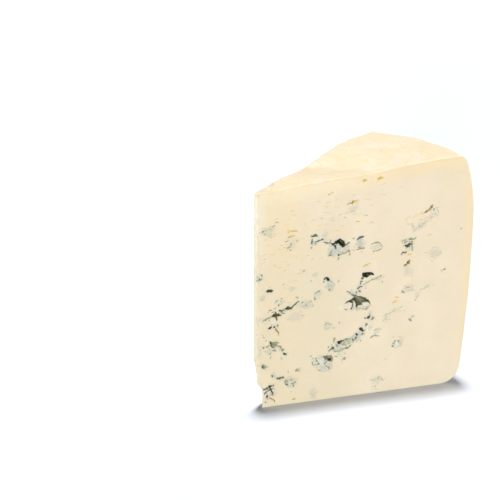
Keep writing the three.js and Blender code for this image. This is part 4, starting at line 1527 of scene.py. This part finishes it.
# %% The pressed top and the rim
def press_the_skin(tree, at, colour):
    """The top and the rim were pressed against the form that shaped the wheel: the top has
    closed seams between its curds and paler smears, and the rim a few of the same. The top's
    colour is also painted a little darker, as shade against the stronger light on it, and a thin
    band at the top edge gets painted shade against the light that its round catches. The masks
    stay on `at`, because the relief needs them too."""
    flat_place = tree.stretched(at.place, 1.0, 1.0, 0.2)
    at.seam = tree.seams(tree.noise(flat_place, 0.09, 1.5), 0.03)
    smear = tree.ease(tree.noise(flat_place, 0.13, 1.5), 0.46, 0.62)
    # The top's skin colour with its seams and smears, its base painted darker as shade against the
    # stronger light on top.
    top_skin_and_shade = tree.coats(PASTE_TOP_AND_SHADE, (smear, 0.8, TOP_SMEAR), (at.seam, 0.8, TOP_VEIN))
    at.on_top = tree.fade(at.below, 0.1, 0.8)
    at.on_rim = tree.ease(at.run, BELLY_RADIUS - 13.0, BELLY_RADIUS - 8.0)
    at.on_rim = at.on_rim * tree.ease(at.inward, 0.8, 3.0) * (1.0 - at.on_top)
    rim_smear = at.on_rim * tree.ease(at.pressed, 0.45, 0.62)
    # Painted shade: a thin band along the top edge is darkened against the light that its round
    # catches.
    edge_shade = tree.fade(at.below, 0.5, 1.6) * tree.fade(at.inward, 0.3, 1.6)
    return tree.coats(colour, (at.on_top, 1.0, top_skin_and_shade), (rim_smear, 0.4, TOP_SMEAR),
                      (edge_shade, 0.3, PASTE_EDGE_SHADE))


# %% Mould on the cut faces
def mould_the_faces(tree, at, colour):
    """Each stain's edge is broken up by noise. The mould is cooler round the middle veins, and
    the knife left the middle of some patches bare."""
    ragged = (at.middle - 0.5) * 0.9 + (at.fine - 0.5) * 1.0

    def broken_up(stain, noise_part, least, most, fill):
        return tree.ease(stain + ragged * noise_part, least, most) * tree.clamp(stain * fill)

    green_part = broken_up(at.green, 1.0, 0.35, 0.75, 3.0)
    lilac_part = broken_up(at.lilac, 0.7, 0.10, 1.0, 3.0)
    white_part = broken_up(at.white, 1.0, 0.35, 0.70, 3.0)
    halo_part = broken_up(at.halo, 0.6, 0.20, 0.80, 4.0)
    cool = tree.ease(at.run, 20.0, 30.0) * tree.fade(at.run, 60.0, 74.0)
    pale = tree.mix(cool, MOULD_PALE, MOULD_COOL)
    mauve = tree.mix(cool * 0.3, MOULD_LILAC, MOULD_COOL)
    bare_middle = tree.ease(at.green, 0.55, 0.95)
    bare_middle = bare_middle * tree.ease(at.middle + (at.fine - 0.5) * 0.4, 0.48, 0.58)
    specks = tree.ease(at.fine + (at.middle - 0.5) * 0.5, 0.60, 0.70)
    specks = specks * tree.ease(at.stained, 0.3, 0.9) * (1.0 - at.lining)
    rim_of_gap = tree.ease(at.halo, 0.5, 0.8) * tree.ease(at.middle, 0.42, 0.58)
    return tree.coats(
        colour,
        (lilac_part, 0.85, mauve),
        (green_part, 0.85, pale),
        (bare_middle, 0.75, MOULD_WHITE),
        (halo_part, 0.5, pale),
        (specks, 0.5, MOULD_MID),
        (rim_of_gap, 0.5, MOULD_WHITE),
        (white_part, 0.85, MOULD_WHITE),
    )


# %% The walls of the openings
WALL_STOPS = [(0.0, MOULD_WHITE), (0.25, MOULD_PALE), (0.5, MOULD_MID), (0.75, MOULD_DARK),
              (1.0, MOULD_AND_SHADE_BLACK)]


def line_the_openings(tree, at, colour):
    """A clean wall has a painted gold glow of light bounced inside the paste, turning to painted
    brown shade as it goes in. A mouldy one darkens with its stain and, as painted shade, with its
    depth, more olive near the tip. What faces up in front is painted pale as if lit, as deep as
    its lit floor depth reaches."""
    clean = tree.clamp(0.0 - at.stain)
    # Painted light and shade: a clean wall gets a gold glow of light bounced inside the paste,
    # turning to brown shade as it goes in.
    glow_and_shade = tree.mix(tree.ease(at.inward, 0.35, 1.3) * clean, SLIT_GLOW_GOLD, SLIT_SHADE_BROWN)
    glow_share = tree.clamp(clean * 2.2) * tree.ease(at.inward, 0.0, 0.4)
    clean_wall = tree.mix(glow_share, PASTE_WARM, glow_and_shade)
    # Painted shade: the wall darkens with its depth as well as with the mould's stain.
    deep = tree.ease(at.inward + (at.middle - 0.5) * 1.2, 0.0, 1.3)
    shade = tree.clamp(at.stain) ** 0.8 * (0.6 + 0.4 * deep) + (at.fine - 0.5) * 0.35
    dark_wall = tree.wire("ShaderNodeValToRGB", {"stops": WALL_STOPS}, {"Fac": shade})
    olive = tree.fade(at.run, 22.0, 32.0) * tree.clamp(shade)
    dark_wall = tree.coats(dark_wall, (olive, 0.35, MOULD_OLIVE))
    wall = tree.mix(tree.ease(at.stain, -0.05, 0.05), clean_wall, dark_wall)
    normal = tree.wire("ShaderNodeNewGeometry", None, None, "True Normal")
    # Painted light: near the face, what faces up is painted pale, standing in for the lit floor of
    # the opening.
    shelf = tree.clamp(at.lip * (1.0 - at.inward / (at.lip * 2.5 + 0.01)))
    shelf = tree.ease(tree.split(normal)[2], 0.1, 0.6) * shelf
    return tree.mix(at.lining, colour, tree.mix(shelf, wall, MOULD_WHITE))


# %% Fine relief
def fine_relief(tree, at):
    """The height of grain, drawn-out hair cracks, seams and the rim's dents, in millimetres."""
    hairs = tree.noise(tree.stretched(at.place, 0.35, 0.35, 2.6), 0.9, 3.0, 0.55)
    hair_cracks = tree.ease(0.5 - tree.math("ABSOLUTE", hairs - 0.5), 0.47, 0.5)
    relief = at.grain * 0.008 + at.fine * (0.02 + 0.20 * at.stained)
    relief = relief + at.middle * 0.10 * at.stained - hair_cracks * 0.02
    relief = relief + at.on_top * (0.06 * at.middle - 0.05 * at.seam)
    dents = 0.12 * (at.middle - 0.5) + 0.6 * (at.pressed - 0.5)
    return relief + at.on_rim * (dents - 0.03 * tree.seams(at.pressed, 0.02))


# %% Dress the paste
tree = MaterialTree(paste)
at = read_paste(tree)
colour = plain_paste(tree, at)
colour = press_the_skin(tree, at, colour)
colour = mould_the_faces(tree, at, colour)
colour = line_the_openings(tree, at, colour)
bump = tree.wire("ShaderNodeBump", None,
                 {"Strength": 1.0, "Distance": MM, "Height": fine_relief(tree, at)})
tree.finish(
    Base_Color=colour, Normal=bump, Specular_IOR_Level=0.3,
    Roughness=0.52 + 0.18 * at.stained + 0.1 * (at.fine - 0.5),
    Subsurface_Weight=0.35, Subsurface_Radius=(1.0, 0.75, 0.4), Subsurface_Scale=2.5 * MM,
)

# %% [markdown]
# ## Mould in the openings
# Blue mould isn't paint: it stands in the gaps as a felt of tiny tufts. So squashed grains of
# mould sit on the darker walls, a little way behind the cut face, where the knife left them
# alone. One grain is an icosahedron, and Geometry Nodes scatter it by the walls' own stain.

# %% Dress the mould
tree = MaterialTree(mould)
shade = tree.noise(tree.place_in_mm(), 1.1, 3.0)
colour = tree.mix(tree.ease(shade, 0.4, 0.62), MOULD_DARK, MOULD_MID)
tree.finish(Base_Color=colour, Roughness=0.9, Specular_IOR_Level=0.1)

# %% Mould grains
GRAIN_SIZES = {"Grains in a square mm": 1.6, "Least stain": 0.5, "Full from there": 0.35,
               "Radius": 0.17 * MM, "Least size": 0.6, "Most size": 1.5, "Flatness": 0.6}
GRAINS_START, GRAINS_FADE_IN = 0.5, 0.5


def make_grains(cut_mesh):
    points = points_of(cut_mesh)
    inward = np.minimum(face_places(points, 0)[2], face_places(points, 1)[2])
    write_points(cut_mesh, "behind", np.clip((inward - GRAINS_START) / GRAINS_FADE_IN, 0, 1))
    tree = GeometryTree("mould_grains")
    size = {name: tree.input(name, value) for name, value in GRAIN_SIZES.items()}
    least = size["Least stain"]
    weight = tree.ease(tree.named("stain"), least, least + size["Full from there"])
    density = weight * tree.named("behind") * size["Grains in a square mm"]
    points, _, turns = scattered(tree, density, seed=4)
    grain = tree.wire("GeometryNodeMeshIcoSphere", None,
                      {"Radius": size["Radius"], "Subdivisions": 1})
    scale = tree.random(size["Least size"], size["Most size"], 5)
    grains = tree.wire("GeometryNodeInstanceOnPoints", None, {
        "Points": points, "Instance": grain, "Rotation": turns,
        "Scale": tree.join(scale, scale, size["Flatness"] * scale),
    })
    return tree.run("mould_grains", grains, mould, cut_mesh.copy())


grains = make_grains(cheese.data)
print(f"mould grains: {len(grains.data.polygons)} faces")

# %% [markdown]
# ## Floor and lights
# The wedge stands on a pale, plain floor. A soft light almost overhead lays a small shadow at
# its foot, a low one from the camera's side fills the cut face, and two weaker ones reach the
# rim and the second cut face. Lights without a place of their own keep the floor evenly bright.
# The room is plain white where the camera sees it, but lights the cheese only a little, as a
# white backdrop far behind it would. The floor throws no light back, because that would make
# the cut face brighter at the bottom.

# %% The floor
FLOOR_REACH = 20.0
FLOOR_COLOUR = (0.845, 0.885, 0.96, 1.0)
floor_mesh = bpy.data.meshes.new("floor")
corners = [(x * FLOOR_REACH, y * FLOOR_REACH, 0) for x, y in ((-1, -1), (1, -1), (1, 1), (-1, 1))]
floor_mesh.from_pydata(corners, [], [(0, 1, 2, 3)])
pale_floor = bpy.data.materials.new("pale_floor")
MaterialTree(pale_floor).finish(Base_Color=FLOOR_COLOUR, Roughness=0.9, Specular_IOR_Level=0.1)
floor_mesh.materials.append(pale_floor)
floor = bpy.data.objects.new("floor", floor_mesh)
bpy.context.scene.collection.objects.link(floor)
floor.visible_diffuse = False


# %% Lights
def soft_sun(name, bearing, lift, spread, strength):
    """An even light over the whole floor. `bearing` is where it stands, from the camera's own
    side and to the right, `lift` its height and `spread` its softness, all in degrees.
    `strength` is how bright it makes a white card that faces it."""
    data = bpy.data.lights.new(name, "SUN")
    data.angle = math.radians(spread)
    data.energy = strength * math.pi
    lamp = bpy.data.objects.new(name, data)
    bpy.context.scene.collection.objects.link(lamp)
    turn = CAMERA_YAW + math.radians(bearing)
    rise = math.radians(lift)
    toward = Vector((math.sin(turn) * math.cos(rise), -math.cos(turn) * math.cos(rise),
                     math.sin(rise)))
    lamp.location = toward
    lamp.rotation_euler = toward.to_track_quat("Z", "Y").to_euler()


SUNS = [
    # (name, bearing, lift, spread, strength)
    ("key", 180.0, 83.4, 9.5, 1.0),
    ("fill", -10.0, 3.0, 14.0, 1.39),
    ("side", 155.0, 3.0, 14.0, 0.85),
    ("back", 232.0, 3.0, 14.0, 0.4),
]
for sun in SUNS:
    soft_sun(*sun)
print(f"lights: {[name for name, *_ in SUNS]}")

# %% The room
ROOM_LIGHT = 0.07
world = bpy.data.worlds.new("studio")
world.use_nodes = True
room = Tree(world.node_tree)
seen = room.wire("ShaderNodeLightPath", None, None, "Is Camera Ray")
background = world.node_tree.nodes["Background"]
room.feed(background.inputs["Color"], (1.0, 1.0, 1.0, 1.0))
room.feed(background.inputs["Strength"], ROOM_LIGHT + (1.0 - ROOM_LIGHT) * seen)
bpy.context.scene.world = world
bpy.context.scene.view_settings.view_transform = "Standard"
print(f"room: {ROOM_LIGHT} of the light that the camera sees")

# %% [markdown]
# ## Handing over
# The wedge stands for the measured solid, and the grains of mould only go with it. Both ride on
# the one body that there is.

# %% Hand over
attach(cheese, "root")
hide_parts(NODE)
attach(grains, "root")
